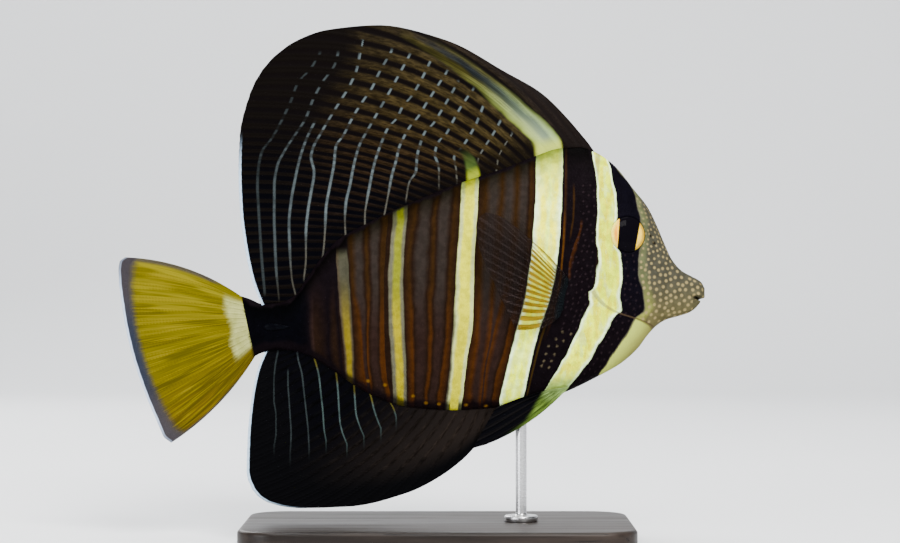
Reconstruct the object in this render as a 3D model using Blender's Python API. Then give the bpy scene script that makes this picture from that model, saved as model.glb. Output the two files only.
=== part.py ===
# A sailfin tang, life size, held level on a plain display stand.
#
# Sizes are in millimetres until a mesh is written. In the fish's own frame x points to the snout
# from the middle of the total length, y points to the fish's left, and z points up from the level
# of the upper lip. LIFT carries that frame to its height above the floor.

import math

import bmesh
import bpy
import numpy as np
from mathutils import Matrix, Vector

MM = 0.001
LIFT = 91.0

# Space left between two pieces that meet, and the width below which a sliver of a cut is closed.
GAP = 0.3
SLIVER = 0.005

# Edges that turn by more than this many degrees stay crisp.
CREASE = 50.0

# The side view of the flesh: height of the back and of the belly at places along the body.
BACK = (
    (-62.0, -1.6), (-57.6, -3.0), (-53.3, -4.7), (-47.2, -4.3), (-41.5, -1.6), (-37.4, 4.2),
    (-32.4, 11.4), (-26.3, 18.2), (-14.8, 24.8), (-1.8, 31.0), (18.7, 39.2), (34.9, 44.6),
    (45.0, 48.6), (54.0, 51.4), (61.2, 51.8), (66.4, 50.0), (70.7, 47.4), (74.0, 44.6),
    (80.9, 36.0), (85.5, 30.1), (88.7, 23.7), (91.4, 17.3), (94.2, 11.3), (97.8, 7.2),
    (101.5, 5.1), (104.8, 3.1), (106.1, 0.8),
)
BELLY = (
    (-62.0, -27.0), (-57.6, -24.6), (-53.3, -22.4), (-48.2, -21.3), (-43.5, -21.7), (-38.0, -23.0),
    (-33.8, -25.0), (-25.9, -30.2), (-19.8, -34.4), (-14.0, -37.6), (-7.6, -40.4), (0.0, -42.2),
    (15.1, -43.2), (32.4, -42.1), (46.8, -39.6), (55.4, -36.7), (67.5, -30.9), (75.8, -26.2),
    (82.1, -20.6), (85.3, -16.3), (88.7, -12.6), (92.3, -10.4), (96.9, -9.1), (103.0, -6.8),
    (105.2, -4.7), (106.1, -3.0),
)

# The view from above: half the width of the flesh, and the height at which it is widest.
HALF_WIDTH = (
    (-62.0, 1.9), (-55.0, 2.8), (-45.0, 3.8), (-35.0, 4.9), (-22.0, 6.5), (-5.0, 8.6), (15.0, 10.5),
    (35.0, 11.8), (50.0, 12.2), (62.0, 11.9), (72.0, 10.9), (80.0, 9.3), (86.0, 7.8), (92.0, 6.1),
    (98.0, 4.5), (101.5, 3.7), (104.0, 3.3), (105.5, 2.5), (106.1, 1.7),
)
WIDEST_HEIGHT = (
    (-62.0, -13.6), (-45.0, -12.5), (-30.0, -8.0), (0.0, -3.0), (30.0, 3.0), (60.0, 7.0),
    (75.0, 6.0), (85.0, 2.5), (95.0, -1.0), (106.1, -1.4),
)
# Along the fin bases the flesh narrows to an edge. On the head it rounds over.
EDGE_HALF = (
    (-62.0, 0.8), (-45.0, 1.0), (0.0, 1.2), (60.0, 1.2), (75.0, 1.4), (98.0, 1.5), (106.1, 0.9),
)
# How full the flank is between its widest height and its edge: a low power is full, a high one lean.
SECTION_LEAN = 2.2
SECTION_POWER = ((-62.0, 0.62), (0.0, 0.72), (55.0, 0.66), (72.0, 0.52), (106.1, 0.48))

# The free edge of the gill cover, from the nape down to the throat, and how far it stands proud.
GILL_LINE = (
    (67.8, 56.0), (67.2, 48.0), (66.2, 40.0), (64.9, 29.0), (63.8, 18.0), (63.6, 8.0), (64.7, 1.0),
    (67.6, -3.6), (72.7, -7.2), (82.8, -10.7), (86.6, -12.9), (88.6, -16.5),
)
GILL_STEP = 0.5
GILL_FADE = 5.0

# The mouth: a short level cut that gapes at the front, then the hinge of the lower jaw.
MOUTH_UPPER = ((108.5, -1.5), (105.0, -1.9), (101.4, -2.0), (98.8, -4.4), (97.2, -13.0))
MOUTH_LOWER = ((108.5, -2.6), (105.0, -2.5), (101.6, -2.3), (99.1, -4.6), (97.5, -13.0))

# The lips: how far above and below the mouth line they crest, how tall and proud they are.
LIP_OFFSET = 1.1
LIP_HALF_HEIGHT = 0.7
LIP_SWELL = 0.6
LIP_START = 99.0
LIP_RAMP = 2.5

# Each nostril: place in the side view and radius. The pits open a little forward.
NOSTRILS = ((87.4, 17.0, 0.75), (86.2, 19.7, 0.55))
NOSTRIL_DEPTH = 0.7
NOSTRIL_LEAN = 0.25

# Places well clear of the fish, where the slabs that part the flesh end.
ABOVE_BACK = 58.0
BELOW_BELLY = -60.0
PAST_SNOUT = 115.0
PAST_FLANK = 30.0

# Where the tail stalk begins, and the sloping line where the tail fin joins it.
STALK_START = -42.0
TAIL_LINE = ((-61.4, 4.0), (-60.1, -2.2), (-55.9, -24.3), (-54.6, -31.0))

# The flesh is lofted through stations along x: for each stretch its ends and number of stations.
STATIONS = ((-61.6, -28.0, 15), (-23.0, 58.0, 17), (61.0, 98.0, 17), (99.6, 106.1, 7))
STATION_POINTS = 18

# The eye is a low dome over a bowl, sunk a little below the skin.
EYE_X = 78.6
EYE_Z = 20.0
EYE_RADIUS = 6.1
EYE_DOME = 1.7
EYE_DEPTH = 4.2
EYE_SINK = 0.2
EYE_SIDES = 20

# Each fin is a fan of rays. A key ray is its number, its root along the body, the x and z of its
# tip and its bow as a share of its length. The rays between two key rays are read off smoothly.
DORSAL_KEYS = (
    (0, 65.9, 62.6, 55.2, 0.02), (1, 64.1, 56.5, 62.4, 0.03), (2, 61.9, 47.2, 71.4, 0.04),
    (3, 59.4, 33.5, 79.4, 0.05), (4, 56.5, 13.3, 90.3, 0.06), (5, 53.3, -10.8, 95.8, 0.08),
    (6, 49.7, -30.2, 94.0, 0.10), (7, 46.1, -43.6, 88.6, 0.12), (9, 38.9, -53.3, 79.4, 0.11),
    (11, 32.0, -57.6, 71.2, 0.08), (15, 17.6, -61.4, 56.0, 0.052), (20, 0.0, -62.0, 42.5, 0.045),
    (24, -13.3, -61.4, 29.2, 0.02), (28, -27.4, -59.8, 17.6, 0.01), (32, -36.9, -56.8, 4.4, 0.0),
    (36, -46.6, -51.8, -3.4, 0.0),
)
ANAL_KEYS = (
    (0, 31.9, 31.2, -44.6, 0.0), (1, 30.2, 26.4, -52.2, 0.01), (2, 27.8, 20.4, -59.4, 0.02),
    (3, 24.5, 11.2, -66.6, 0.03), (4, 20.8, -0.6, -72.6, 0.04), (6, 13.3, -21.6, -77.6, 0.06),
    (8, 6.1, -39.6, -78.2, 0.07), (10, -1.1, -51.2, -76.2, 0.07), (12, -7.6, -56.9, -71.6, 0.06),
    (14, -14.0, -59.0, -65.2, 0.05), (17, -23.4, -58.6, -53.6, 0.04), (20, -32.4, -57.4, -41.4, 0.03),
    (23, -40.0, -55.2, -30.6, 0.01), (26, -46.1, -51.5, -23.0, 0.0),
)
# For the tail fin the root is a share of the way down the end of the tail stalk.
TAIL_KEYS = (
    (0, 0.02, -103.2, 12.0, 0.045), (1, 0.08, -105.9, 6.6, 0.03), (4, 0.28, -104.3, -7.3, 0.01),
    (7, 0.46, -101.3, -21.1, 0.0), (10, 0.65, -96.7, -35.0, -0.01), (13, 0.85, -91.0, -48.6, -0.03),
    (14, 0.92, -89.0, -53.0, -0.045), (15, 0.98, -86.4, -55.0, -0.057),
)
# The pectoral fin's root is a share of the way down its base line on the flank.
PECTORAL_BASE = ((57.4, 3.0), (54.6, -7.8))
PECTORAL_KEYS = (
    (0, 0.0, 44.4, 17.0, 0.03), (1, 0.1, 36.8, 23.2, 0.012), (2, 0.17, 31.6, 26.6, 0.015),
    (3, 0.24, 27.2, 27.7, 0.02), (5, 0.36, 23.6, 22.6, 0.02), (7, 0.48, 24.6, 15.4, 0.0),
    (9, 0.6, 27.4, 8.4, -0.03), (11, 0.74, 30.8, 0.9, -0.06), (13, 0.88, 34.4, -6.7, -0.09),
    (15, 1.0, 38.0, -14.6, -0.12),
)
# The pelvic fin lies folded back beside the keel of the belly.
PELVIC_BASE = ((56.0, -35.5), (47.2, -36.0))
PELVIC_KEYS = (
    (0, 0.0, 26.8, -55.3, -0.06), (1, 0.2, 22.7, -56.4, -0.045), (2, 0.4, 24.3, -53.3, -0.03),
    (3, 0.6, 26.4, -49.7, -0.01), (4, 0.8, 28.6, -45.7, 0.01), (5, 1.0, 31.0, -41.8, 0.02),
)
# Rays, rows of points along a ray and, at the front, stiff spines of each fin.
DORSAL_COUNTS = (37, 8, 4)
ANAL_COUNTS = (27, 7, 3)
TAIL_COUNTS = (16, 7, 0)
PECTORAL_COUNTS = (16, 6, 0)
PELVIC_COUNTS = (6, 7, 1)

# The pectoral fins stand out from the flank, and the pelvic fins keep clear of the rod.
PECTORAL_SPREAD = 0.22
PECTORAL_HELD = 3.0
PELVIC_OFFSET = 3.0
PELVIC_SPREAD = 0.6

# Half the thickness of a web, how far rays and spines rise from it, and how far the ridges sink
# towards the margin. Between two rays the web falls a little short of their tips.
WEB_HALF = 0.27
RAY_RIDGE = 0.25
SPINE_RIDGE = 0.4
RIDGE_FADE = 0.6
WEB_REACH = 0.985

# How quickly a fin's fleshy root thins towards the web.
ROOT_FALL = 7.0
TAIL_ROOT_FALL = 9.0

# The folded blade on each side of the tail stalk.
BLADE_REAR = -52.4
BLADE_TIP = -42.8
BLADE_Z = -13.0
BLADE_HALF_HEIGHT = 1.25
BLADE_THICKNESS = 1.1
BLADE_EDGE = 0.3
BLADE_WIDEST = 0.3

# The stand.
BASE_LENGTH = 140.0
BASE_WIDTH = 80.0
BASE_HEIGHT = 8.0
BASE_CENTRE_X = 10.0
BASE_CORNER = 14.0
BASE_BEVEL = 1.5
ROD_X = 40.0
ROD_RADIUS = 2.0
ROD_SINK = 8.0
ROD_CHAMFER = 0.5
COLLAR_RADIUS = 6.0
COLLAR_HEIGHT = 2.2
COLLAR_CHAMFER = 0.7


# Smooth lines through few points

def smooth(points):
    """A line y(x) through the points, cubic between them, that never overshoots a point."""
    table = np.array(sorted(points), float)
    x, y = table[:, 0], table[:, 1]
    step, rise = np.diff(x), np.diff(y) / np.diff(x)
    slope = np.zeros(len(x))
    slope[0], slope[-1] = rise[0], rise[-1]
    for i in range(1, len(x) - 1):
        if rise[i - 1] * rise[i] > 0:
            before, after = 2 * step[i] + step[i - 1], step[i] + 2 * step[i - 1]
            slope[i] = (before + after) / (before / rise[i - 1] + after / rise[i])

    def at(place):
        place = np.clip(np.asarray(place, float), x[0], x[-1])
        i = np.clip(np.searchsorted(x, place) - 1, 0, len(x) - 2)
        t = (place - x[i]) / step[i]
        keep, turn = 2 * t**3 - 3 * t**2 + 1, t**3 - 2 * t**2 + t
        return (keep * y[i] + (1 - keep) * y[i + 1]
                + turn * step[i] * slope[i] + (t**3 - t**2) * step[i] * slope[i + 1])

    return at


def column(keys, index):
    """One column of a fin's key rays as a smooth line over the ray number."""
    return smooth([(key[0], key[index]) for key in keys])


back = smooth(BACK)
belly = smooth(BELLY)
half_width = smooth(HALF_WIDTH)
widest_height = smooth(WIDEST_HEIGHT)
edge_half = smooth(EDGE_HALF)
section_power = smooth(SECTION_POWER)
gill_x = smooth([(z, x) for x, z in GILL_LINE])
mouth_height = smooth([(a[0], (a[1] + b[1]) / 2) for a, b in zip(MOUTH_UPPER[:3], MOUTH_LOWER)])


def clear_of(line, x, direction):
    """Height of a fin's root beside the back or belly line, one gap off it at right angles."""
    slope = line(x + 0.5) - line(x - 0.5)
    return line(x) + direction * GAP * np.sqrt(1 + slope**2)


def middle(x):
    """Sideways place of the fish's middle plane: the tail stalk and tail fin sweep gently left."""
    return 0.0011 * np.clip(-30.0 - np.asarray(x, float), 0.0, None) ** 2


def lips(x, z):
    """How far the two lips swell beyond the snout, as ridges above and below the mouth line."""
    off = np.abs(z - mouth_height(x)) - LIP_OFFSET
    front = np.clip((x - LIP_START) / LIP_RAMP, 0.0, 1.0)
    return LIP_SWELL * np.exp(-((off / LIP_HALF_HEIGHT) ** 2)) * front


def flank(x, z, step=0.0):
    """Half thickness of the flesh at a point of the side view, less the step behind the gill cover."""
    x, z = np.asarray(x, float), np.asarray(z, float)
    wide = widest_height(x)
    reach = np.where(z > wide, back(x) - wide, wide - belly(x))
    share = np.clip(np.abs(z - wide) / reach, 0.0, 1.0)
    edge = edge_half(x)
    thick = edge + (half_width(x) - edge) * (1 - share**SECTION_LEAN) ** section_power(x)
    behind = np.clip(gill_x(z) - x, 0.0, None)
    return thick - step * np.exp(-behind / GILL_FADE) * (share < 0.97) + lips(x, z)


# Meshes and objects

def start_empty():
    for thing in list(bpy.data.objects):
        bpy.data.objects.remove(thing)


def material(name, colour, roughness, metallic=0.0):
    made = bpy.data.materials.new(name)
    made.use_nodes = True
    shader = made.node_tree.nodes["Principled BSDF"]
    shader.inputs["Base Color"].default_value = (*colour, 1.0)
    shader.inputs["Roughness"].default_value = roughness
    shader.inputs["Metallic"].default_value = metallic
    return made


def new_object(name, points, faces, finish=None):
    """An object from points in the fish's frame, in millimetres, lifted to its height on the stand."""
    mesh = bpy.data.meshes.new(name)
    placed = (np.asarray(points, float) + (0.0, 0.0, LIFT)) * MM
    mesh.from_pydata([tuple(p) for p in placed], [], faces)
    mesh.update()
    mesh.shade_smooth()
    mesh.set_sharp_from_angle(angle=math.radians(CREASE))
    if finish:
        mesh.materials.append(finish)
    thing = bpy.data.objects.new(name, mesh)
    bpy.context.scene.collection.objects.link(thing)
    return thing


def combine(target, other, operation):
    """Applies one Boolean of other to target, drops the slivers it leaves and removes other."""
    modifier = target.modifiers.new(operation.lower(), "BOOLEAN")
    modifier.operation = operation
    modifier.object = other
    modifier.solver = "EXACT"
    graph = bpy.context.evaluated_depsgraph_get()
    mesh = bpy.data.meshes.new_from_object(target.evaluated_get(graph))
    target.modifiers.clear()
    shape = bmesh.new()
    shape.from_mesh(mesh)
    bmesh.ops.remove_doubles(shape, verts=shape.verts, dist=SLIVER * MM)
    bmesh.ops.dissolve_degenerate(shape, edges=shape.edges, dist=SLIVER * MM)
    shape.to_mesh(mesh)
    shape.free()
    mesh.shade_smooth()
    mesh.set_sharp_from_angle(angle=math.radians(CREASE))
    target.data = mesh
    bpy.data.objects.remove(other)


def prism(name, outline):
    """A slab across the fish whose side view is the outline, given anticlockwise seen from -y."""
    count = len(outline)
    near = [(x, -PAST_FLANK, z) for x, z in outline]
    far = [(x, PAST_FLANK, z) for x, z in outline]
    faces = [tuple(range(count)), tuple(range(2 * count - 1, count - 1, -1))]
    for i in range(count):
        j = (i + 1) % count
        faces.append((i, i + count, j + count, j))
    return new_object(name, near + far, faces)


def turned(name, profile, sides, frame, finish=None):
    """A solid turned about its own +z from (radius, height) points, first and last on the axis."""
    points, faces = [], []
    for radius, height in profile[1:-1]:
        for k in range(sides):
            angle = 2 * math.pi * k / sides
            points.append(frame @ Vector((radius * math.cos(angle), radius * math.sin(angle), height)))
    first, last = len(points), len(points) + 1
    points += [frame @ Vector((0, 0, profile[0][1])), frame @ Vector((0, 0, profile[-1][1]))]
    rings = len(profile) - 2
    for k in range(sides):
        j = (k + 1) % sides
        faces.append((first, k, j))
        faces.append((last, (rings - 1) * sides + j, (rings - 1) * sides + k))
        for ring in range(rings - 1):
            a = ring * sides
            faces.append((a + k, a + sides + k, a + sides + j, a + j))
    return new_object(name, points, faces, finish)


# The flesh: one loft, parted by thin cuts

def flesh(name, step, finish=None):
    """The whole body from the tail stalk to the lips, as rings of points lofted along x."""
    stations = np.concatenate([np.linspace(*stretch) for stretch in STATIONS])
    angles = np.radians(np.linspace(90.0, -90.0, STATION_POINTS))
    points, faces = [], []
    for x in stations:
        wide = widest_height(x)
        reach = np.where(angles > 0, back(x) - wide, wide - belly(x))
        z = wide + reach * np.sin(angles)
        y = flank(x, z, step)
        left = [(x, middle(x) + b, c) for b, c in zip(y, z)]
        right = [(x, middle(x) - b, c) for b, c in zip(y, z)]
        points += left + right[::-1]
    ring = 2 * len(angles)
    for s in range(len(stations) - 1):
        for k in range(ring):
            j = (k + 1) % ring
            a, b = s * ring, (s + 1) * ring
            faces.append((a + k, a + j, b + j, b + k))
    last = (len(stations) - 1) * ring
    faces += [tuple(range(ring - 1, -1, -1)), tuple(range(last, last + ring))]
    return new_object(name, points, faces, finish)


def shifted(line, amount):
    """A polyline moved sideways by amount, to the left of its direction."""
    line = np.array(line, float)
    along = np.gradient(line, axis=0)
    along /= np.linalg.norm(along, axis=1)[:, None]
    return [tuple(p) for p in line + amount * np.stack([-along[:, 1], along[:, 0]], axis=1)]


def aimed(direction):
    """A turn that carries +z to a direction."""
    return direction.to_track_quat("Z", "Y").to_matrix().to_4x4()


def eye_frame(side):
    """Where an eye sits: centred on the skin, its +z along the skin's outward normal."""
    reach = EYE_RADIUS / 2
    y = float(flank(EYE_X, EYE_Z))
    slope_x = float(flank(EYE_X + reach, EYE_Z) - flank(EYE_X - reach, EYE_Z)) / (2 * reach)
    slope_z = float(flank(EYE_X, EYE_Z + reach) - flank(EYE_X, EYE_Z - reach)) / (2 * reach)
    outward = Vector((-slope_x, 1.0, -slope_z)).normalized()
    outward.y *= side
    return Matrix.Translation((EYE_X, side * (y - EYE_SINK), EYE_Z)) @ aimed(outward)


def eye_profile(grow=0.0):
    """Half outline of an eye from front to back: a low dome, a rounded rim and a bowl behind."""
    radius = EYE_RADIUS + grow
    shape = (
        (0.0, EYE_DOME), (0.36, 0.92 * EYE_DOME), (0.66, 0.64 * EYE_DOME), (0.88, 0.22 * EYE_DOME),
        (1.0, -0.5), (0.97, -1.5), (0.8, -3.0), (0.45, -EYE_DEPTH + 0.3), (0.0, -EYE_DEPTH),
    )
    return [(share * radius, height + math.copysign(grow, height)) for share, height in shape]


def build_head(skin):
    """The head with both eye sockets, the nostrils and the upper side of the mouth."""
    head = flesh("head", 0.0, skin)
    below = [(MOUTH_UPPER[-1][0], GILL_LINE[-1][1])]
    front = [(PAST_SNOUT, MOUTH_UPPER[0][1]), (PAST_SNOUT, ABOVE_BACK), (GILL_LINE[0][0], ABOVE_BACK)]
    combine(head, prism("head_slab", [*GILL_LINE, *below, *MOUTH_UPPER[::-1], *front]), "INTERSECT")
    for side in (-1, 1):
        combine(head, turned("eye_socket", eye_profile(GAP), EYE_SIDES, eye_frame(side)), "DIFFERENCE")
        for x, z, radius in NOSTRILS:
            place = Matrix.Translation((x, side * float(flank(x, z)), z))
            aim = aimed(Vector((NOSTRIL_LEAN, side, 0.0)))
            mouth, floor = 3 * NOSTRIL_DEPTH, -NOSTRIL_DEPTH
            pit = ((0.0, mouth), (radius, mouth), (radius, floor), (0.0, 1.3 * floor))
            combine(head, turned("nostril", pit, 10, place @ aim), "DIFFERENCE")


def build_jaw(skin):
    """The lower jaw, below the mouth line and ahead of its hinge."""
    jaw = flesh("lower_jaw", 0.0, skin)
    front = [(PAST_SNOUT, MOUTH_LOWER[-1][1]), (PAST_SNOUT, MOUTH_LOWER[0][1])]
    combine(jaw, prism("jaw_slab", [*front, *MOUTH_LOWER]), "INTERSECT")


def build_torso(skin):
    """The trunk behind the gill cover, with a blind hole in the belly for the rod."""
    torso = flesh("torso", GILL_STEP, skin)
    behind_gill = shifted(GILL_LINE, -GAP)[::-1]
    rear = STALK_START + GAP
    under = [(rear, ABOVE_BACK), (rear, BELOW_BELLY), (behind_gill[0][0], BELOW_BELLY)]
    combine(torso, prism("torso_slab", [*behind_gill, *under]), "INTERSECT")
    hole = ROD_RADIUS + GAP
    bore = ((0.0, ROD_SINK), (hole, ROD_SINK), (hole, -ROD_SINK), (0.0, -ROD_SINK))
    seat = Matrix.Translation((ROD_X, 0.0, float(belly(ROD_X))))
    combine(torso, turned("rod_socket", bore, 16, seat), "DIFFERENCE")


def build_tail_stalk(skin):
    """The narrow stalk that carries the tail fin."""
    stalk = flesh("tail_stalk", 0.0, skin)
    front = [(STALK_START, TAIL_LINE[-1][1]), (STALK_START, TAIL_LINE[0][1])]
    combine(stalk, prism("stalk_slab", [*shifted(TAIL_LINE, GAP), *front]), "INTERSECT")


# Fins: fans of rays that stand as ridges on one thin web

def facing_out(thing):
    """Turns every face over if the closed body encloses a negative volume."""
    mesh = thing.data
    mesh.calc_loop_triangles()
    points = np.array([v.co for v in mesh.vertices])
    corners = points[np.array([t.vertices for t in mesh.loop_triangles])]
    if np.linalg.det(corners - points.mean(axis=0)).sum() < 0:
        mesh.flip_normals()
    return thing


def closed_sheet(name, near, far, finish):
    """A thin closed body between two grids of points, split into triangles alike on both."""
    columns, lines = near.shape[:2]
    count = columns * lines
    faces = []
    for i in range(columns - 1):
        for j in range(lines - 1):
            a, b = i * lines + j, (i + 1) * lines + j
            c, d = b + 1, a + 1
            faces += [(a, c, b), (a, d, c)]
            faces += [(a + count, b + count, c + count), (a + count, c + count, d + count)]
    border = [i * lines for i in range(columns)]
    border += [(columns - 1) * lines + j for j in range(1, lines)]
    border += [i * lines + lines - 1 for i in range(columns - 2, -1, -1)]
    border += list(range(lines - 2, 0, -1))
    for k, a in enumerate(border):
        b = border[(k + 1) % len(border)]
        faces += [(a, b, b + count), (a, b + count, a + count)]
    points = np.concatenate([near.reshape(-1, 3), far.reshape(-1, 3)])
    return facing_out(new_object(name, points, faces, finish))


def fan(name, roots, keys, counts, half, sideways, finish):
    """A fin as one closed body. Every ray and every web between two rays is a column of points.

    roots(number) gives the root of a ray in the side view, half(number, share, x, z) half the
    web's thickness and sideways(number, share, x, z, thick) the place of its middle surface.
    """
    rays, rows, spines = counts
    numbers = np.arange(0, rays - 0.5, 0.5)
    share = np.linspace(0.0, 1.0, rows + 1)[None, :]
    is_ray = (np.arange(len(numbers)) % 2 == 0)[:, None]
    reach = share * np.where(is_ray, 1.0, WEB_REACH)
    root = np.stack(roots(numbers), axis=1)[:, None, :]
    tip = np.stack([column(keys, 2)(numbers), column(keys, 3)(numbers)], axis=1)[:, None, :]
    chord = tip - root
    bow = column(keys, 4)(numbers)[:, None, None]
    control = (root + tip) / 2 + 2 * bow * np.stack([chord[..., 1], -chord[..., 0]], axis=-1)
    t = reach[..., None]
    line = (1 - t) ** 2 * root + 2 * t * (1 - t) * control + t**2 * tip
    x, z = line[..., 0], line[..., 1]
    number = np.broadcast_to(numbers[:, None], x.shape)
    ridge = np.where(number < spines, SPINE_RIDGE, RAY_RIDGE) * is_ray * (1 - RIDGE_FADE * share)
    ridge = ridge * (share > 0)
    thick = half(number, share, x, z) + ridge
    centre = sideways(number, share, x, z, thick)
    near = np.stack([x, centre - thick, z], axis=-1)
    far = np.stack([x, centre + thick, z], axis=-1)
    return closed_sheet(name, near, far, finish)


def taper(share, root_half, fall=ROOT_FALL):
    """Half thickness of a web that is fleshy at its root and thins quickly towards its margin."""
    return WEB_HALF + (root_half - WEB_HALF) * np.exp(-fall * share)


def build_dorsal_fin(finish):
    """The back fin: spines at the front, then soft rays that fan out to a tall sail."""
    def roots(numbers):
        x = column(DORSAL_KEYS, 1)(numbers)
        return x, clear_of(back, x, 1)

    def half(number, share, x, z):
        return taper(share, edge_half(x[:, :1]))

    def sideways(number, share, x, z, thick):
        wave = 1.5 * np.sin(0.33 * number + 0.6) + 0.9 * np.sin(0.13 * number)
        return middle(x) + wave * share**1.6

    fan("dorsal_fin", roots, DORSAL_KEYS, DORSAL_COUNTS, half, sideways, finish)


def build_anal_fin(finish):
    """The fin under the tail half of the belly, whose rays bow the other way."""
    def roots(numbers):
        x = column(ANAL_KEYS, 1)(numbers)
        return x, clear_of(belly, x, -1)

    def half(number, share, x, z):
        return taper(share, edge_half(x[:, :1]))

    def sideways(number, share, x, z, thick):
        wave = 1.2 * np.sin(0.4 * number + 2.2)
        return middle(x) + wave * share**1.6

    mirrored = [(*key[:4], -key[4]) for key in ANAL_KEYS]
    fan("anal_fin", roots, mirrored, ANAL_COUNTS, half, sideways, finish)


def build_tail_fin(finish):
    """The tail fin, as thick as the stalk where they meet."""
    top, bottom = np.array(TAIL_LINE[1]), np.array(TAIL_LINE[2])

    def roots(numbers):
        down = column(TAIL_KEYS, 1)(numbers)[:, None]
        line = top + (bottom - top) * down
        return line[:, 0], line[:, 1]

    def half(number, share, x, z):
        root_half = flank(x[:, :1] + GAP, z[:, :1]) - 0.1
        return taper(share, root_half, TAIL_ROOT_FALL)

    def sideways(number, share, x, z, thick):
        wave = 0.9 * np.sin(0.42 * number + 0.5)
        return middle(x) + wave * share**1.6

    fan("tail_fin", roots, TAIL_KEYS, TAIL_COUNTS, half, sideways, finish)


def build_pectoral_fin(side, name, finish):
    """A breast fin, spread off the flank behind its fleshy base."""
    top, bottom = np.array(PECTORAL_BASE[0]), np.array(PECTORAL_BASE[1])

    def roots(numbers):
        down = column(PECTORAL_KEYS, 1)(numbers)[:, None]
        line = top + (bottom - top) * down
        return line[:, 0], line[:, 1]

    def half(number, share, x, z):
        return taper(share, 1.0, TAIL_ROOT_FALL)

    def sideways(number, share, x, z, thick):
        away = np.hypot(x - x[:, :1], z - z[:, :1])
        off = PECTORAL_SPREAD * np.clip(away - PECTORAL_HELD, 0.0, None)
        return side * (flank(x, z, GILL_STEP) + GAP + thick + off)

    fan(name, roots, PECTORAL_KEYS, PECTORAL_COUNTS, half, sideways, finish)


def build_pelvic_fin(side, name, finish):
    """A belly fin, folded back and down beside the rod."""
    start, end = np.array(PELVIC_BASE[0]), np.array(PELVIC_BASE[1])

    def roots(numbers):
        along = column(PELVIC_KEYS, 1)(numbers)[:, None]
        line = start + (end - start) * along
        return line[:, 0], line[:, 1]

    def half(number, share, x, z):
        return taper(share, 0.8)

    def sideways(number, share, x, z, thick):
        body = np.where(z > belly(x), flank(x, z), 0.0)
        clear = np.logaddexp(4 * (body + GAP), 4 * PELVIC_OFFSET) / 4
        return side * (clear + thick + PELVIC_SPREAD * share)

    fan(name, roots, PELVIC_KEYS, PELVIC_COUNTS, half, sideways, finish)


def build_tail_spine(side, name, finish):
    """The folded blade on the tail stalk: a low lancet that points forward along the flank."""
    along = np.linspace(0.0, 1.0, 7)[:, None]
    across = np.linspace(-1.0, 1.0, 3)[None, :]
    behind = np.sqrt(np.clip(1 - (1 - along / BLADE_WIDEST) ** 2, 0.0, None))
    ahead = 1 - (np.clip(along - BLADE_WIDEST, 0.0, None) / (1 - BLADE_WIDEST)) ** 1.5
    outline = np.where(along < BLADE_WIDEST, behind, ahead)
    x = BLADE_REAR + (BLADE_TIP - BLADE_REAR) * along + 0 * across
    z = BLADE_Z + BLADE_HALF_HEIGHT * (0.12 + 0.88 * outline) * across
    inner = flank(x, z) + GAP
    outer = inner + BLADE_EDGE + (BLADE_THICKNESS - BLADE_EDGE) * outline * (1 - across**2)
    near = np.stack([x, middle(x) + side * inner, z], axis=-1)
    far = np.stack([x, middle(x) + side * outer, z], axis=-1)
    closed_sheet(name, near, far, finish)


# The stand: a flat base and one rod that ends in a socket in the belly

def build_base(wood):
    """A flat board with round corners, its foot eased and its upper edge bevelled."""
    half_x, half_y = BASE_LENGTH / 2 - BASE_CORNER, BASE_WIDTH / 2 - BASE_CORNER
    count = 24
    outline = []
    for k in range(count):
        angle = 2 * math.pi * (k + 0.5) / count
        side_x, side_y = math.cos(angle), math.sin(angle)
        x = math.copysign(half_x, side_x) + BASE_CORNER * side_x
        y = math.copysign(half_y, side_y) + BASE_CORNER * side_y
        outline.append((x, y))
    ease = 0.4
    levels = ((ease, 0.0), (0.0, ease), (0.0, BASE_HEIGHT - BASE_BEVEL), (BASE_BEVEL, BASE_HEIGHT))
    points = []
    for inset, z in levels:
        scale_x, scale_y = 1 - 2 * inset / BASE_LENGTH, 1 - 2 * inset / BASE_WIDTH
        points += [(BASE_CENTRE_X + x * scale_x, y * scale_y, z - LIFT) for x, y in outline]
    top = (len(levels) - 1) * count
    faces = [tuple(range(count - 1, -1, -1)), tuple(range(top, top + count))]
    for a in range(0, top, count):
        for k in range(count):
            j = (k + 1) % count
            faces.append((a + k, a + j, a + count + j, a + count + k))
    new_object("stand_base", points, faces, wood)


def build_rod(steel):
    """The rod, turned in one piece with the collar that it stands on."""
    foot = BASE_HEIGHT + GAP - LIFT
    top = float(belly(ROD_X)) + ROD_SINK - GAP
    crown = foot + COLLAR_HEIGHT
    profile = (
        (0.0, top), (ROD_RADIUS - ROD_CHAMFER, top), (ROD_RADIUS, top - ROD_CHAMFER),
        (ROD_RADIUS, crown + COLLAR_CHAMFER), (ROD_RADIUS + COLLAR_CHAMFER, crown),
        (COLLAR_RADIUS - COLLAR_CHAMFER, crown), (COLLAR_RADIUS, crown - COLLAR_CHAMFER),
        (COLLAR_RADIUS, foot), (0.0, foot),
    )
    turned("stand_rod", profile, 16, Matrix.Translation((ROD_X, 0.0, 0.0)), steel)


def build_eyes(finish):
    """Two eyes, each seated in its socket with one gap all round."""
    for side, name in ((-1, "eye_right"), (1, "eye_left")):
        turned(name, eye_profile(), EYE_SIDES, eye_frame(side), finish)


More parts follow.
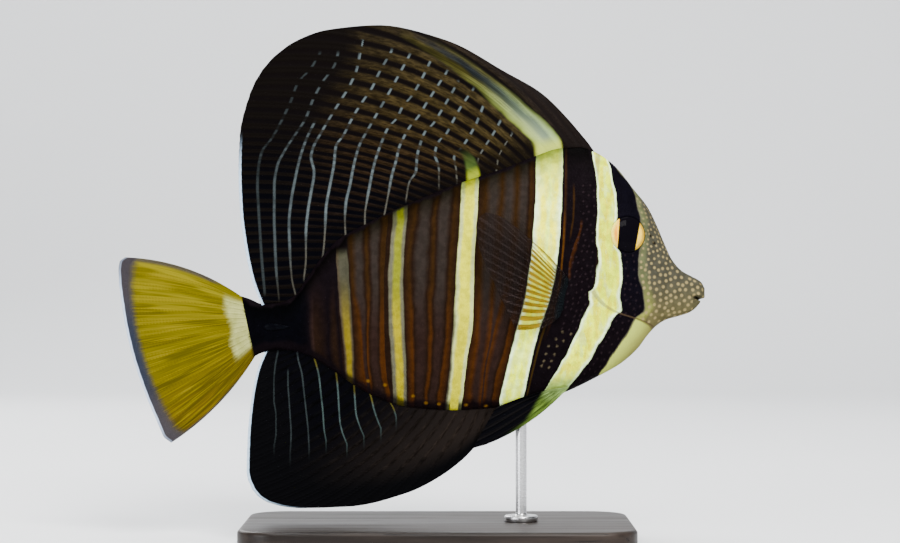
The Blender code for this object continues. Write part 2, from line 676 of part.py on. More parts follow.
def main():
    start_empty()
    skin = material("skin", (0.045, 0.025, 0.016), 0.5)
    fin_dark = material("dark_fin", (0.02, 0.013, 0.01), 0.5)
    fin_clear = material("clear_fin", (0.25, 0.22, 0.14), 0.4)
    fin_yellow = material("yellow_fin", (0.5, 0.38, 0.02), 0.5)
    eye = material("eye", (0.012, 0.012, 0.016), 0.1)
    horn = material("spine", (0.03, 0.03, 0.05), 0.4)
    wood = material("stand_wood", (0.02, 0.018, 0.017), 0.45)
    steel = material("stand_steel", (0.55, 0.55, 0.56), 0.3, 1.0)
    build_head(skin)
    build_jaw(skin)
    build_torso(skin)
    build_tail_stalk(skin)
    build_eyes(eye)
    build_dorsal_fin(fin_dark)
    build_anal_fin(fin_dark)
    build_tail_fin(fin_yellow)
    for side, name in ((-1, "right"), (1, "left")):
        build_pectoral_fin(side, "pectoral_fin_" + name, fin_clear)
        build_pelvic_fin(side, "pelvic_fin_" + name, fin_dark)
        build_tail_spine(side, "tail_spine_" + name, horn)
    build_base(wood)
    build_rod(steel)


main()
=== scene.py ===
# %% [markdown]
# # A sailfin tang on a display stand
#
# This lesson dresses the plain solids of a museum-style fish model. The solids give every place and
# size. On top of them come one continuous skin, thin rayed fins, wet eyes, a wooden base and a
# steel rod, each with a finish of its own.
#
# Nothing is painted by hand. Each mark of the fish is a line or a band with a formula, so the skin
# and the fins carry numbers such as "how far along the row of bars is this point", and the
# materials turn those numbers into colour.

# %% Load the solids
import math

import bpy
import numpy as np
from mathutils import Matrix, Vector

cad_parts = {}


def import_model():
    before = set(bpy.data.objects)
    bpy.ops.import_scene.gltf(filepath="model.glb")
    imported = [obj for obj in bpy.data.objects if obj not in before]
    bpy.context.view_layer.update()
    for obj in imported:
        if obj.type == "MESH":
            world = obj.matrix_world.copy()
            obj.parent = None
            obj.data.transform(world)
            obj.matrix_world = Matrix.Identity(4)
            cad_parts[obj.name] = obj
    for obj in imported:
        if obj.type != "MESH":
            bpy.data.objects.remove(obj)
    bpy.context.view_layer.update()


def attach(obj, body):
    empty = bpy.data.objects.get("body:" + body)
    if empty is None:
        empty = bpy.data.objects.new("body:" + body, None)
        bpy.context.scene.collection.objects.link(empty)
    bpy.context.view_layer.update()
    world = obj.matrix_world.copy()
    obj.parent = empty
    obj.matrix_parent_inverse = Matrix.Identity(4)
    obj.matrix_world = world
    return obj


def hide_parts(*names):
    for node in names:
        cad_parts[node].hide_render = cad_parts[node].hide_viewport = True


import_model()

# %% [markdown]
# ## Two ways of giving a place
#
# The body is described in the fish's own frame, in millimetres: x points to the snout, y to the
# fish's left side and z up from the upper lip. The marks are easier to read off a side view, so
# they are noted as picture places, to the right and down, in steps of 0.36 mm. One function turns
# picture places into the fish's frame, and another lifts the fish to its height on the stand.

# %% Units and places
MM = 0.001
LIFT = 91.0
STEP = 0.36
ZERO = (410.0, 290.7)
VIEW_MIDDLE = (450.0, 271.5)
VIEW_DISTANCE = 900.0


def from_view(places):
    """Picture places (right, down) as x and z in the fish's middle plane, in millimetres."""
    places = np.asarray(places, float)
    return np.stack([(places[..., 0] - ZERO[0]) * STEP, (ZERO[1] - places[..., 1]) * STEP], axis=-1)


def to_view(x, z, nearer=0.0):
    """The picture place of a point that lies some millimetres nearer than the middle plane."""
    grow = VIEW_DISTANCE / (VIEW_DISTANCE - nearer)
    right = VIEW_MIDDLE[0] + (x / STEP + ZERO[0] - VIEW_MIDDLE[0]) * grow
    return right, VIEW_MIDDLE[1] + (ZERO[1] - z / STEP - VIEW_MIDDLE[1]) * grow


def world(points):
    """Millimetres in the fish's frame as metres above the floor."""
    return (np.asarray(points, float) + (0.0, 0.0, LIFT)) * MM


print("one step of the picture is", STEP, "mm, and the picture's corner is at", from_view((0, 0)))

# %% [markdown]
# ## Smooth lines through few points
#
# Outlines and bars are given by a handful of points. A cubic line runs through them, and its slope
# at each point is held back so that it never swings past a point. That keeps a belly from
# bulging between two stations.

# %% Smooth lines
def smooth(points):
    """A line y(x): cubic between the points, with slopes limited so that it never overshoots."""
    table = np.array(sorted(points), float)
    x, y = table[:, 0], table[:, 1]
    step, rise = np.diff(x), np.diff(y) / np.diff(x)
    slope = np.zeros(len(x))
    slope[0], slope[-1] = rise[0], rise[-1]
    same_way = rise[:-1] * rise[1:] > 0
    before, after = 2 * step[1:] + step[:-1], step[1:] + 2 * step[:-1]
    first, second = np.where(same_way, rise[:-1], 1.0), np.where(same_way, rise[1:], 1.0)
    slope[1:-1] = np.where(same_way, (before + after) / (before / first + after / second), 0.0)

    def at(place):
        place = np.clip(np.asarray(place, float), x[0], x[-1])
        i = np.clip(np.searchsorted(x, place) - 1, 0, len(x) - 2)
        t = (place - x[i]) / step[i]
        keep, turn = 2 * t**3 - 3 * t**2 + 1, t**3 - 2 * t**2 + t
        return (keep * y[i] + (1 - keep) * y[i + 1]
                + turn * step[i] * slope[i] + (t**3 - t**2) * step[i] * slope[i + 1])

    return at


def ease(value, low, high):
    """0 below low, 1 above high and a soft S between them. Low may be the larger one."""
    t = np.clip((np.asarray(value, float) - low) / (high - low), 0.0, 1.0)
    return t * t * (3 - 2 * t)


print("half of the way from 0 to 2:", ease(1.0, 0.0, 2.0))

# %% [markdown]
# ## The body's lines
#
# These are the same lines that the solids were made from: the back and the belly in the side view,
# half the thickness seen from above, and how full the flank is between its widest height and its
# edge. The skin uses them, so it lies on the solids everywhere.

# %% Lines of the body
BACK = (
    (-62.0, -1.6), (-57.6, -3.0), (-53.3, -4.7), (-47.2, -4.3), (-41.5, -1.6), (-37.4, 4.2),
    (-32.4, 11.4), (-26.3, 18.2), (-14.8, 24.8), (-1.8, 31.0), (18.7, 39.2), (34.9, 44.6),
    (45.0, 48.6), (54.0, 51.4), (61.2, 51.8), (66.4, 50.0), (70.7, 47.4), (74.0, 44.6),
    (80.9, 36.0), (85.5, 30.1), (88.7, 23.7), (91.4, 17.3), (94.2, 11.3), (97.8, 7.2),
    (101.5, 5.1), (104.8, 3.1), (106.1, 0.8),
)
BELLY = (
    (-62.0, -27.0), (-57.6, -24.6), (-53.3, -22.4), (-48.2, -21.3), (-43.5, -21.7), (-38.0, -23.0),
    (-33.8, -25.0), (-25.9, -30.2), (-19.8, -34.4), (-14.0, -37.6), (-7.6, -40.4), (0.0, -42.2),
    (15.1, -43.2), (32.4, -42.1), (46.8, -39.6), (55.4, -36.7), (67.5, -30.9), (75.8, -26.2),
    (82.1, -20.6), (85.3, -16.3), (88.7, -12.6), (92.3, -10.4), (96.9, -9.1), (103.0, -6.8),
    (105.2, -4.7), (106.1, -3.0),
)
HALF_WIDTH = (
    (-62.0, 1.9), (-55.0, 2.8), (-45.0, 3.8), (-35.0, 4.9), (-22.0, 6.5), (-5.0, 8.6), (15.0, 10.5),
    (35.0, 11.8), (50.0, 12.2), (62.0, 11.9), (72.0, 10.9), (80.0, 9.3), (86.0, 7.8), (92.0, 6.1),
    (98.0, 4.5), (101.5, 3.7), (104.0, 3.3), (105.5, 2.5), (106.1, 1.7),
)
WIDEST_HEIGHT = (
    (-62.0, -13.6), (-45.0, -12.5), (-30.0, -8.0), (0.0, -3.0), (30.0, 3.0), (60.0, 7.0),
    (75.0, 6.0), (85.0, 2.5), (95.0, -1.0), (106.1, -1.4),
)
EDGE_HALF = (
    (-62.0, 0.8), (-45.0, 1.0), (0.0, 1.2), (60.0, 1.2), (75.0, 1.4), (98.0, 1.5), (106.1, 0.9),
)
SECTION_LEAN = 2.2
SECTION_POWER = ((-62.0, 0.62), (0.0, 0.72), (55.0, 0.66), (72.0, 0.52), (106.1, 0.48))
GILL_LINE = (
    (67.8, 56.0), (67.2, 48.0), (66.2, 40.0), (64.9, 29.0), (63.8, 18.0), (63.6, 8.0), (64.7, 1.0),
    (67.6, -3.6), (72.7, -7.2), (82.8, -10.7), (86.6, -12.9), (88.6, -16.5),
)
MOUTH_LINE = ((98.8, -2.2), (101.5, -2.2), (103.0, -2.5), (105.0, -3.0), (108.5, -3.8))

back = smooth(BACK)
belly = smooth(BELLY)
half_width = smooth(HALF_WIDTH)
widest_height = smooth(WIDEST_HEIGHT)
edge_half = smooth(EDGE_HALF)
section_power = smooth(SECTION_POWER)
gill_x = smooth([(z, x) for x, z in GILL_LINE])
mouth_height = smooth(MOUTH_LINE)
print("height at x = 50:", round(float(back(50.0) - belly(50.0)), 1), "mm")

# %% Middle plane, lips and flank
SWEEP_FROM = -30.0
SWEEP = 0.0011
LIP_OFFSET = 1.1
LIP_HALF_HEIGHT = 0.7
LIP_SWELL = 0.6
LIP_START = 99.0
LIP_RAMP = 2.5
GILL_STEP = 0.5
GILL_FADE = 5.0
GILL_EDGE = 0.8


def middle(x):
    """Sideways place of the middle plane: towards the tail it sweeps left with the distance squared."""
    return SWEEP * np.clip(SWEEP_FROM - np.asarray(x, float), 0.0, None) ** 2


def lips(x, z):
    """Two ridges with a bell-shaped section, one above and one below the mouth line."""
    off = np.abs(z - mouth_height(x)) - LIP_OFFSET
    front = np.clip((x - LIP_START) / LIP_RAMP, 0.0, 1.0)
    return LIP_SWELL * np.exp(-((off / LIP_HALF_HEIGHT) ** 2)) * front


def flank(x, z, step=0.0):
    """Half thickness: edge + (width - edge)(1 - share^lean)^power, share being the way to the edge."""
    x, z = np.asarray(x, float), np.asarray(z, float)
    wide = widest_height(x)
    reach = np.where(z > wide, back(x) - wide, wide - belly(x))
    share = np.clip(np.abs(z - wide) / reach, 0.0, 1.0)
    edge = edge_half(x)
    thick = edge + (half_width(x) - edge) * (1 - share**SECTION_LEAN) ** section_power(x)
    behind = gill_x(z) - x
    fall = step * np.exp(-np.clip(behind, 0.0, None) / GILL_FADE) * ease(behind, 0.0, GILL_EDGE)
    return thick - fall + lips(x, z)


print("thickest at x = 50:", round(2 * float(flank(50.0, 5.0)), 1), "mm")

# %% [markdown]
# ## The skin as one closed surface
#
# A real fish has no seam, so the four flesh solids are covered by one skin. It could be carved or
# remeshed, but a fish's body is a natural function of two numbers: how far along it is, and how
# far round. The rings run from the tail stalk to the lips. At both ends the left and the right half
# of the last ring share their points, which closes the skin like a zip.
#
# Small forms bend that surface. Each is a short formula: the lips part along a groove, the lower
# lip sits a little behind the upper one, the eye sockets are bowls with a soft rim, the nostrils
# are pits, and the fleshy base of the breast fin is a low mound. Near an eye the rings crowd
# together on the socket's edge, so that the edge is crisp without more points.

# %% Stations and rings
STATIONS = ((-61.6, 67.0, 202), (67.35, 90.0, 62), (90.2, 98.0, 38), (98.2, 106.1, 40))
RING_POINTS = 139
TAIL_LINE = ((-61.4, 4.0), (-54.6, -31.0))
TAIL_RAMP = 16.0
TAIL_OVERLAP = 1.4


def skin_places():
    """x and z of every point of one half of the skin: stations along, angles from back to belly."""
    s = np.concatenate([np.linspace(*stretch) for stretch in STATIONS])[:, None]
    a = np.radians(np.linspace(90.0, -90.0, RING_POINTS))[None, :]
    wide = widest_height(s)
    z = wide + np.where(a > 0, back(s) - wide, wide - belly(s)) * np.sin(a)
    (x0, z0), (x1, z1) = TAIL_LINE
    slant = x0 + (x1 - x0) * (z - z0) / (z1 - z0) - TAIL_OVERLAP - s[0, 0]
    x = s + slant * ease(s, s[0, 0] + TAIL_RAMP, s[0, 0])
    wide = widest_height(x)
    return x, wide + np.where(a > 0, back(x) - wide, wide - belly(x)) * np.sin(a)


print("stations:", sum(stretch[2] for stretch in STATIONS), "of", RING_POINTS, "points each")

# %% Eye sockets
EYE_PLACE = (77.8, 20.1)
EYE_RADIUS = 6.4
EYE_CROWD = 2.6
EYE_CROWD_POWER = 1.8


def eye_slopes():
    """How the flank falls off forward and upward at the eye."""
    x, z = EYE_PLACE
    reach = EYE_RADIUS / 2
    slope_x = float(flank(x + reach, z) - flank(x - reach, z)) / (2 * reach)
    slope_z = float(flank(x, z + reach) - flank(x, z - reach)) / (2 * reach)
    return slope_x, slope_z


def from_eye(x, z):
    """Distance from the eye's middle along the flank, taken as a slanting plane."""
    slope_x, slope_z = eye_slopes()
    off_x, off_z = x - EYE_PLACE[0], z - EYE_PLACE[1]
    return np.sqrt(off_x**2 + off_z**2 + (slope_x * off_x + slope_z * off_z) ** 2)


def crowd_at_eye(x, z):
    """Slides points towards the socket's edge: the offset t from it becomes t^EYE_CROWD_POWER."""
    r = from_eye(x, z)
    t = np.clip((r - EYE_RADIUS) / EYE_CROWD, -1.0, 1.0)
    moved = EYE_RADIUS + EYE_CROWD * np.sign(t) * np.abs(t) ** EYE_CROWD_POWER
    scale = np.where(np.abs(t) < 1, moved / np.maximum(r, 1e-6), 1.0)
    return EYE_PLACE[0] + (x - EYE_PLACE[0]) * scale, EYE_PLACE[1] + (z - EYE_PLACE[1]) * scale


print("fall of the flank at the eye, forward and upward:", np.round(eye_slopes(), 3))

# %% Nostrils, mouth and the base of the breast fin
NOSE_TIP = 106.1
NOSE_ROUND = 1.9
FIN_MOUND = (57.2, -2.2, 2.6, 5.6, 1.5)
NOSTRILS = ((87.4, 17.0, 0.75), (86.2, 19.7, 0.55))
NOSTRIL_EDGE = (1.1, 0.5)
NOSTRIL_DEPTH = 0.75
MOUTH_HALF = 0.42
MOUTH_DEPTH = 2.4
MOUTH_CORNER = (101.4, 103.4)
MOUTH_DEEPENS = (102.5, 105.5)
MOUTH_PINCH = 0.9
LOWER_LIP_BACK = 1.1
LOWER_LIP_RAMP = (99.0, 105.0)
LOWER_LIP_TOP = 0.8
SOCKET_DEPTH = 3.4
SOCKET_TOP = 0.12
SOCKET_FOOT = -0.5
RIM_HEIGHT = 0.3
RIM_OUT = 0.6
RIM_WIDTH = 0.8


def nostril_pits(x, z):
    """1 in the middle of a nostril and 0 outside it."""
    outer, inner = NOSTRIL_EDGE
    pits = [ease(np.hypot(x - nx, z - nz), radius * outer, radius * inner) for nx, nz, radius in NOSTRILS]
    return np.maximum(*pits)


def skin_half():
    """One half of the skin: its points, with y counted from the middle plane, and two masks."""
    x, z = crowd_at_eye(*skin_places())
    wide, edge = widest_height(x), edge_half(x)
    reach = np.where(z > wide, back(x) - wide, wide - belly(x))
    to_edge = np.clip(reach - np.abs(z - wide), 0.0, None)
    y = flank(x, z, GILL_STEP) - edge
    y = y + edge * np.sqrt(1 - (1 - np.clip(to_edge / edge, 0.0, 1.0)) ** 2)
    y = y * np.sqrt(1 - np.clip((x - NOSE_TIP) / NOSE_ROUND + 1, 0.0, 1.0) ** 2)
    y = y * ease(x - x[:1], 0.0, TAIL_OVERLAP) ** 0.5
    mx, mz, wide_x, high_z, tall = FIN_MOUND
    y = y + tall * np.exp(-((x - mx) / wide_x) ** 2 - ((z - mz) / high_z) ** 2)
    y = y - NOSTRIL_DEPTH * nostril_pits(x, z)
    below = mouth_height(x) - z
    part = np.exp(-((below / MOUTH_HALF) ** 2)) * ease(x, *MOUTH_CORNER)
    x = x - LOWER_LIP_BACK * ease(below, 0.0, LOWER_LIP_TOP) * ease(x, *LOWER_LIP_RAMP)
    x = x - MOUTH_DEPTH * part * ease(x, *MOUTH_DEEPENS)
    y = y * (1 - MOUTH_PINCH * part)
    r = from_eye(x, z)
    rim = RIM_HEIGHT * np.exp(-(((r - EYE_RADIUS - RIM_OUT) / RIM_WIDTH) ** 2))
    sink = rim - SOCKET_DEPTH * ease(r, EYE_RADIUS + SOCKET_TOP, EYE_RADIUS + SOCKET_FOOT)
    slope_x, slope_z = eye_slopes()
    out = np.array([-slope_x, 1.0, -slope_z]) / math.sqrt(1 + slope_x**2 + slope_z**2)
    return x + sink * out[0], y + sink * out[1], z + sink * out[2], part


half_x = skin_half()[0]
print("skin half:", half_x.shape, "points, snout at", round(float(half_x.max()), 2), "mm")

# %% [markdown]
# ## From grids to meshes
#
# One helper makes every piece: it takes points in millimetres and faces as rows of point numbers,
# and stores extra numbers on the points for the materials to read. The points go in as whole
# arrays. The object itself stays at the origin, unturned and unscaled, as the solids do.

# %% Mesh helpers
def store(piece, numbers):
    """Puts named numbers on a piece's points, for its material to read."""
    for key, values in numbers.items():
        field = piece.data.attributes.new(key, "FLOAT", "POINT")
        field.data.foreach_set("value", np.asarray(values, np.float32).ravel())


def make_piece(name, points, faces, numbers=None):
    """A smooth-shaded object from points in millimetres, quads or triangles and named numbers."""
    mesh = bpy.data.meshes.new(name)
    count, corners = faces.shape
    mesh.vertices.add(len(points))
    mesh.vertices.foreach_set("co", world(points).astype(np.float32).ravel())
    mesh.loops.add(faces.size)
    mesh.loops.foreach_set("vertex_index", faces.astype(np.int32).ravel())
    mesh.polygons.add(count)
    mesh.polygons.foreach_set("loop_start", np.arange(0, faces.size, corners, dtype=np.int32))
    mesh.update(calc_edges=True)
    mesh.shade_smooth()
    piece = bpy.data.objects.new(name, mesh)
    bpy.context.scene.collection.objects.link(piece)
    store(piece, numbers or {})
    print(f"{name}: {len(points)} points, {count} faces")
    return piece


def grid_faces(index, closed=False):
    """Quads between neighbours of a table of point numbers, with its last column tied to the first."""
    if closed:
        index = np.concatenate([index, index[:, :1]], axis=1)
    a, b, c, d = index[:-1, :-1], index[1:, :-1], index[1:, 1:], index[:-1, 1:]
    return np.stack([a, b, c, d], axis=-1).reshape(-1, 4)


# %% [markdown]
# ## The row of bars
#
# A sailfin tang is barred from eye to tail. Each bar is drawn by the line of its rear edge and the
# line of its front edge, and thin orange lines run between the bars. All of these lines are listed
# from tail to snout, and every point of the skin gets one number: a point on line 5 has the number
# 5, and a point halfway to line 6 has 5.5. A colour ramp over that number then paints all the bars
# at once, with edges as crisp as the render, however coarse the mesh is.

# %% Lines of the bars
BAR_LINES = (
    ((262, 290), (262, 350)),
    ((304, 288), (306, 310), (307, 350)),
    ((316, 288), (314, 310), (316, 347), (320, 372)),
    ((334, 262), (333, 300), (334, 340), (338, 376)),
    ((335, 240), (337, 277), (340, 315), (344, 348), (346, 380)),
    ((347, 240), (350, 288), (352, 320), (353, 348), (354, 380)),
    ((351, 240), (352, 290), (357, 310), (361, 338), (363, 365), (367, 390)),
    ((366, 215), (367, 260), (369, 300), (367, 335), (368, 365), (371, 390)),
    ((385, 215), (382, 260), (381, 300), (381, 350), (383, 375), (389, 395)),
    ((394, 200), (391, 242), (388, 279), (389, 326), (391, 348), (393, 395)),
    ((408, 200), (405, 242), (403, 279), (404, 326), (406, 369), (407, 400)),
    ((417, 200), (414, 222), (408, 262), (410, 295), (412, 345), (413, 395)),
    ((437, 195), (434, 222), (433, 270), (430, 310), (430, 360), (426, 395)),
    ((458, 185), (454, 215), (451, 260), (448, 310), (446, 350), (439, 395)),
    ((462, 170), (460, 216), (457, 261), (455, 299), (452, 340), (449, 377), (445, 408)),
    ((479, 165), (478, 199), (475, 243), (474, 270), (473, 321), (468, 353), (461, 408)),
    ((486, 165), (485, 200), (480, 250), (479, 300), (476, 345), (471, 380), (469, 400)),
    ((504, 160), (501, 205), (497, 250), (492, 300), (490, 335), (484, 370), (481, 400)),
    ((518, 155), (516, 215), (512, 255), (507, 288), (498, 318), (494, 335), (486, 370), (483, 400)),
    ((532, 150), (531, 200), (528, 250), (521, 290), (512, 320), (505, 350), (496, 380), (493, 400)),
    ((536, 145), (536, 181), (535, 208), (533, 234), (525, 296), (512, 347), (500, 400)),
    ((563, 145), (563, 181), (562, 208), (560, 234), (556, 271), (549, 302), (539, 330), (523, 400)),
    ((566, 150), (565, 200), (563, 250), (560, 285), (556, 305), (545, 340), (530, 395)),
    ((573, 150), (574, 200), (571, 235), (566, 260), (563, 285), (560, 305), (552, 340), (538, 390)),
    ((582, 150), (583, 200), (581, 225), (574, 246), (569, 266), (568, 285), (566, 305), (562, 330),
     (548, 380)),
    ((592, 152), (596, 178), (598, 205), (597, 236), (598, 255), (597, 278), (594, 288), (589, 292),
     (589, 299), (590, 303), (585, 311), (579, 328), (573, 341), (564, 358), (554, 375), (543, 392)),
    ((604, 152), (611, 168), (612, 179), (616, 197), (617, 218), (616, 246), (621, 254), (622, 272),
     (620, 295), (621.5, 311), (615.5, 315), (608.5, 329), (601, 341), (591, 358), (580, 373), (569, 386),
     (560, 398)),
    ((610, 152), (617, 169), (628, 182), (634, 192), (637, 206), (641, 222), (640, 250), (638, 263),
     (639, 278), (644, 299), (645.5, 306), (643.5, 312), (635, 318), (633, 321), (628, 331), (620, 343),
     (609, 359), (598, 376)),
    ((630, 152), (640, 182), (652, 206), (661, 222), (662, 260), (668, 300), (664, 316), (652, 334),
     (630, 362), (610, 385)),
)


print("lines of the bars:", len(BAR_LINES))

# %% Place in a row of lines
LINE_ROOM = 0.8
BEYOND = 16.0
BEYOND_STEP = 40.0


def line_places(down, lines):
    """How far right each line is at every height, each at least LINE_ROOM behind the next one."""
    places = [smooth([(d, r) for r, d in line])(down) for line in lines]
    for k in range(len(places) - 2, -1, -1):
        places[k] = np.minimum(places[k], places[k + 1] - LINE_ROOM)
    return places


def along_lines(x, z, lines, nearer=0.0):
    """Which line a point is on, counted from the tail, with its share of the way to the next one.

    Past the first and the last line the number goes on by 1 for every BEYOND_STEP.
    """
    right, down = to_view(x, z, nearer)
    places = line_places(down, lines)
    number = np.zeros(np.shape(x))
    for rear, front in zip(places[:-1], places[1:]):
        number += np.clip((right - rear) / (front - rear), 0.0, 1.0)
    outside = np.clip(right - places[-1], 0.0, BEYOND) - np.clip(places[0] - right, 0.0, BEYOND)
    return number + outside / BEYOND_STEP


print("place of the eye in the row:", round(float(along_lines(*EYE_PLACE, BAR_LINES)), 2))

# %% [markdown]
# ## Dots on the snout and the chest
#
# The snout carries cream dots and the chest smaller ones, spaced evenly but in no pattern. Random
# points would clump. Instead each new dot goes where the skin is farthest from all dots so far,
# which spreads them like the real ones. Every point of the skin then stores how far the nearest
# dot is, counted in that dot's own radius, so the material draws a round dot where it is below 1.

# %% Spread the dots
MOST_DOTS = 900
FAR_AWAY = 9.0
BATCH = 4000


def spread_dots(points, allowed, spacing, share, seed):
    """Evenly spread dots and their radii: each goes to the allowed point farthest from all before.

    The spacing is the distance wanted at each point, and a radius is a share of it. It stops when
    no gap is wider than wanted.
    """
    pool, wanted = points[allowed], spacing[allowed]
    chosen = [int(np.random.default_rng(seed).integers(len(pool)))]
    nearest = np.linalg.norm(pool - pool[chosen[0]], axis=1) / wanted
    while nearest.max() > 1 and len(chosen) < MOST_DOTS:
        chosen.append(int(nearest.argmax()))
        nearest = np.minimum(nearest, np.linalg.norm(pool - pool[chosen[-1]], axis=1) / wanted)
    return pool[chosen], share * wanted[chosen]


def dot_field(points, dots, radii, near):
    """Distance to the nearest dot in dot radii, at the near points, and FAR_AWAY elsewhere."""
    field = np.full(len(points), FAR_AWAY)
    chosen = np.flatnonzero(near)
    for start in range(0, len(chosen), BATCH):
        rows = chosen[start:start + BATCH]
        away = np.linalg.norm(points[rows, None, :] - dots[None, :, :], axis=2) / radii[None, :]
        field[rows] = away.min(axis=1)
    return field


# %% [markdown]
# ## Make the skin
#
# The right half is the left half with its sideways distance turned over, so both flanks carry the
# same marks. The numbers for the materials are worked out once, for one half, and repeated.

# %% Where the dots are
CHEST_DOTS = (
    (556, 339), (563.5, 341), (548.5, 346), (557, 346), (546, 354), (554.5, 354.5), (544, 361),
    (551.5, 361), (541.5, 366), (549, 367.5), (562.5, 332), (571, 334),
)
CHEST_RADIUS = 0.62
EDGE_SPOTS = ((368, 381), (385, 385), (413, 396), (426, 403), (439, 404), (466, 405), (486, 406))
EDGE_RADIUS = 0.8
FOREHEAD_SPACING = 1.35
SNOUT_EXTRA = 0.38
FOREHEAD_Z = 16.0
SNOUT_Z = 4.0
SNOUT_SHARE = 0.36
FAINT_SPACING = 1.9
FAINT_SHARE = 0.25
CHIN_X = 101.5
CHIN_Z = -3.2


def placed_dots(points, places, radius, near):
    """The same field for dots of one radius, given as picture places on the right flank."""
    right, down = np.array(places, float).T
    spots = from_view(np.stack([right, down], axis=-1))
    for _ in range(3):
        y = flank(spots[:, 0], spots[:, 1])
        grow = VIEW_DISTANCE / (VIEW_DISTANCE - y)
        spots = from_view(np.stack([VIEW_MIDDLE[0] + (right - VIEW_MIDDLE[0]) / grow,
                                    VIEW_MIDDLE[1] + (down - VIEW_MIDDLE[1]) / grow], axis=-1))
    centres = np.stack([spots[:, 0], y, spots[:, 1]], axis=-1)
    return dot_field(points, centres, np.full(len(centres), radius), near)


def dot_fields(points, bar, down, part):
    """The four kinds of dots. Bar and down say where on the skin each kind may be."""
    chin = (points[:, 0] > CHIN_X) & (points[:, 2] < CHIN_Z)
    snout = (bar > 27.12) & (part < 0.3) & ~chin & (down < 322)
    spacing = FOREHEAD_SPACING + SNOUT_EXTRA * ease(points[:, 2], FOREHEAD_Z, SNOUT_Z)
    snout_dots = spread_dots(points, snout, spacing, SNOUT_SHARE, seed=4)
    behind_front_bar = (bar > 23.9) & (bar < 24.85) & (down > 185) & (down < 330)
    below_eye = (bar > 26.2) & (bar < 26.8) & (down > 255)
    even = np.full(len(points), FAINT_SPACING)
    faint_dots = spread_dots(points, behind_front_bar | below_eye, even, FAINT_SHARE, seed=9)
    return {
        "snout_dots": dot_field(points, *snout_dots, (bar > 27.0) & ~chin),
        "chest_dots": placed_dots(points, CHEST_DOTS, CHEST_RADIUS, down > 324),
        "faint_dots": dot_field(points, *faint_dots, (bar > 23.5) & (bar < 27.0) & (down > 178)),
        "edge_spots": placed_dots(points, EDGE_SPOTS, EDGE_RADIUS, down > 370),
    }


print("placed dots:", len(CHEST_DOTS) + len(EDGE_SPOTS))

# %% Build the skin
EDGE_REACH = 9.0
GILL_REACH = 4.0


def skin_numbers(x, y, z, part):
    """The numbers that the skin's material reads, for one half."""
    points = np.stack([x, y, z], axis=-1).reshape(-1, 3)
    bar = along_lines(x, z, BAR_LINES, y).ravel()
    down = to_view(x, z, y)[1].ravel()
    return {
        "bar": bar,
        **dot_fields(points, bar, down, part.ravel()),
        "from_back": np.clip(back(x) - z, 0.0, EDGE_REACH).ravel(),
        "from_belly": np.clip(z - belly(x), 0.0, EDGE_REACH).ravel(),
        "nostril": nostril_pits(x, z).ravel(),
        "mouth": part.ravel(),
        "socket": ease(from_eye(x, z), EYE_RADIUS + 0.1, EYE_RADIUS - 0.3).ravel(),
        "gill": np.clip(gill_x(z) - x, -GILL_REACH, GILL_REACH).ravel(),
    }


def build_skin():
    """Left points, then the right ones between back and belly, tied into rings that close."""
    x, y, z, part = skin_half()
    rows, half = x.shape
    left = np.stack([x, middle(x) + y, z], axis=-1)
    right = np.stack([x, middle(x) - y, z], axis=-1)[:, 1:-1]
    left[:, [0, -1], 1] = middle(x[:, [0, -1]])
    left_index = np.arange(rows * half).reshape(rows, half)
    right_index = rows * half + np.arange(rows * (half - 2)).reshape(rows, half - 2)
    for end in (0, -1):
        left[end, :, 1] = middle(x[end])
        right_index[end] = left_index[end, 1:-1]
    ring = np.concatenate([left_index, right_index[:, ::-1]], axis=1)
    points = np.concatenate([left.reshape(-1, 3), right.reshape(-1, 3)])
    numbers = {}
    for key, values in skin_numbers(x, y, z, part).items():
        values = values.reshape(rows, half)
        numbers[key] = np.concatenate([values.ravel(), values[:, 1:-1].ravel()])
    used = np.unique(ring)
    order = np.full(len(points), -1)
    order[used] = np.arange(len(used))
    numbers = {key: values[used] for key, values in numbers.items()}
    return make_piece("skin_whole", points[used], order[grid_faces(ring, closed=True)], numbers)


skin = build_skin()

# %% [markdown]
# ## Fins as fans of rays
#
# A fish's fin is a row of bony rays with a thin web between them. Each ray is a gentle curve from
# its root to its tip, given for a few rays and read off smoothly for the rest. Two numbers then
# describe every point: the ray's number and the share of the way to its tip. Towards the margin
# each soft ray splits in two, as on the real fish. The rays stand proud on both faces of the web.

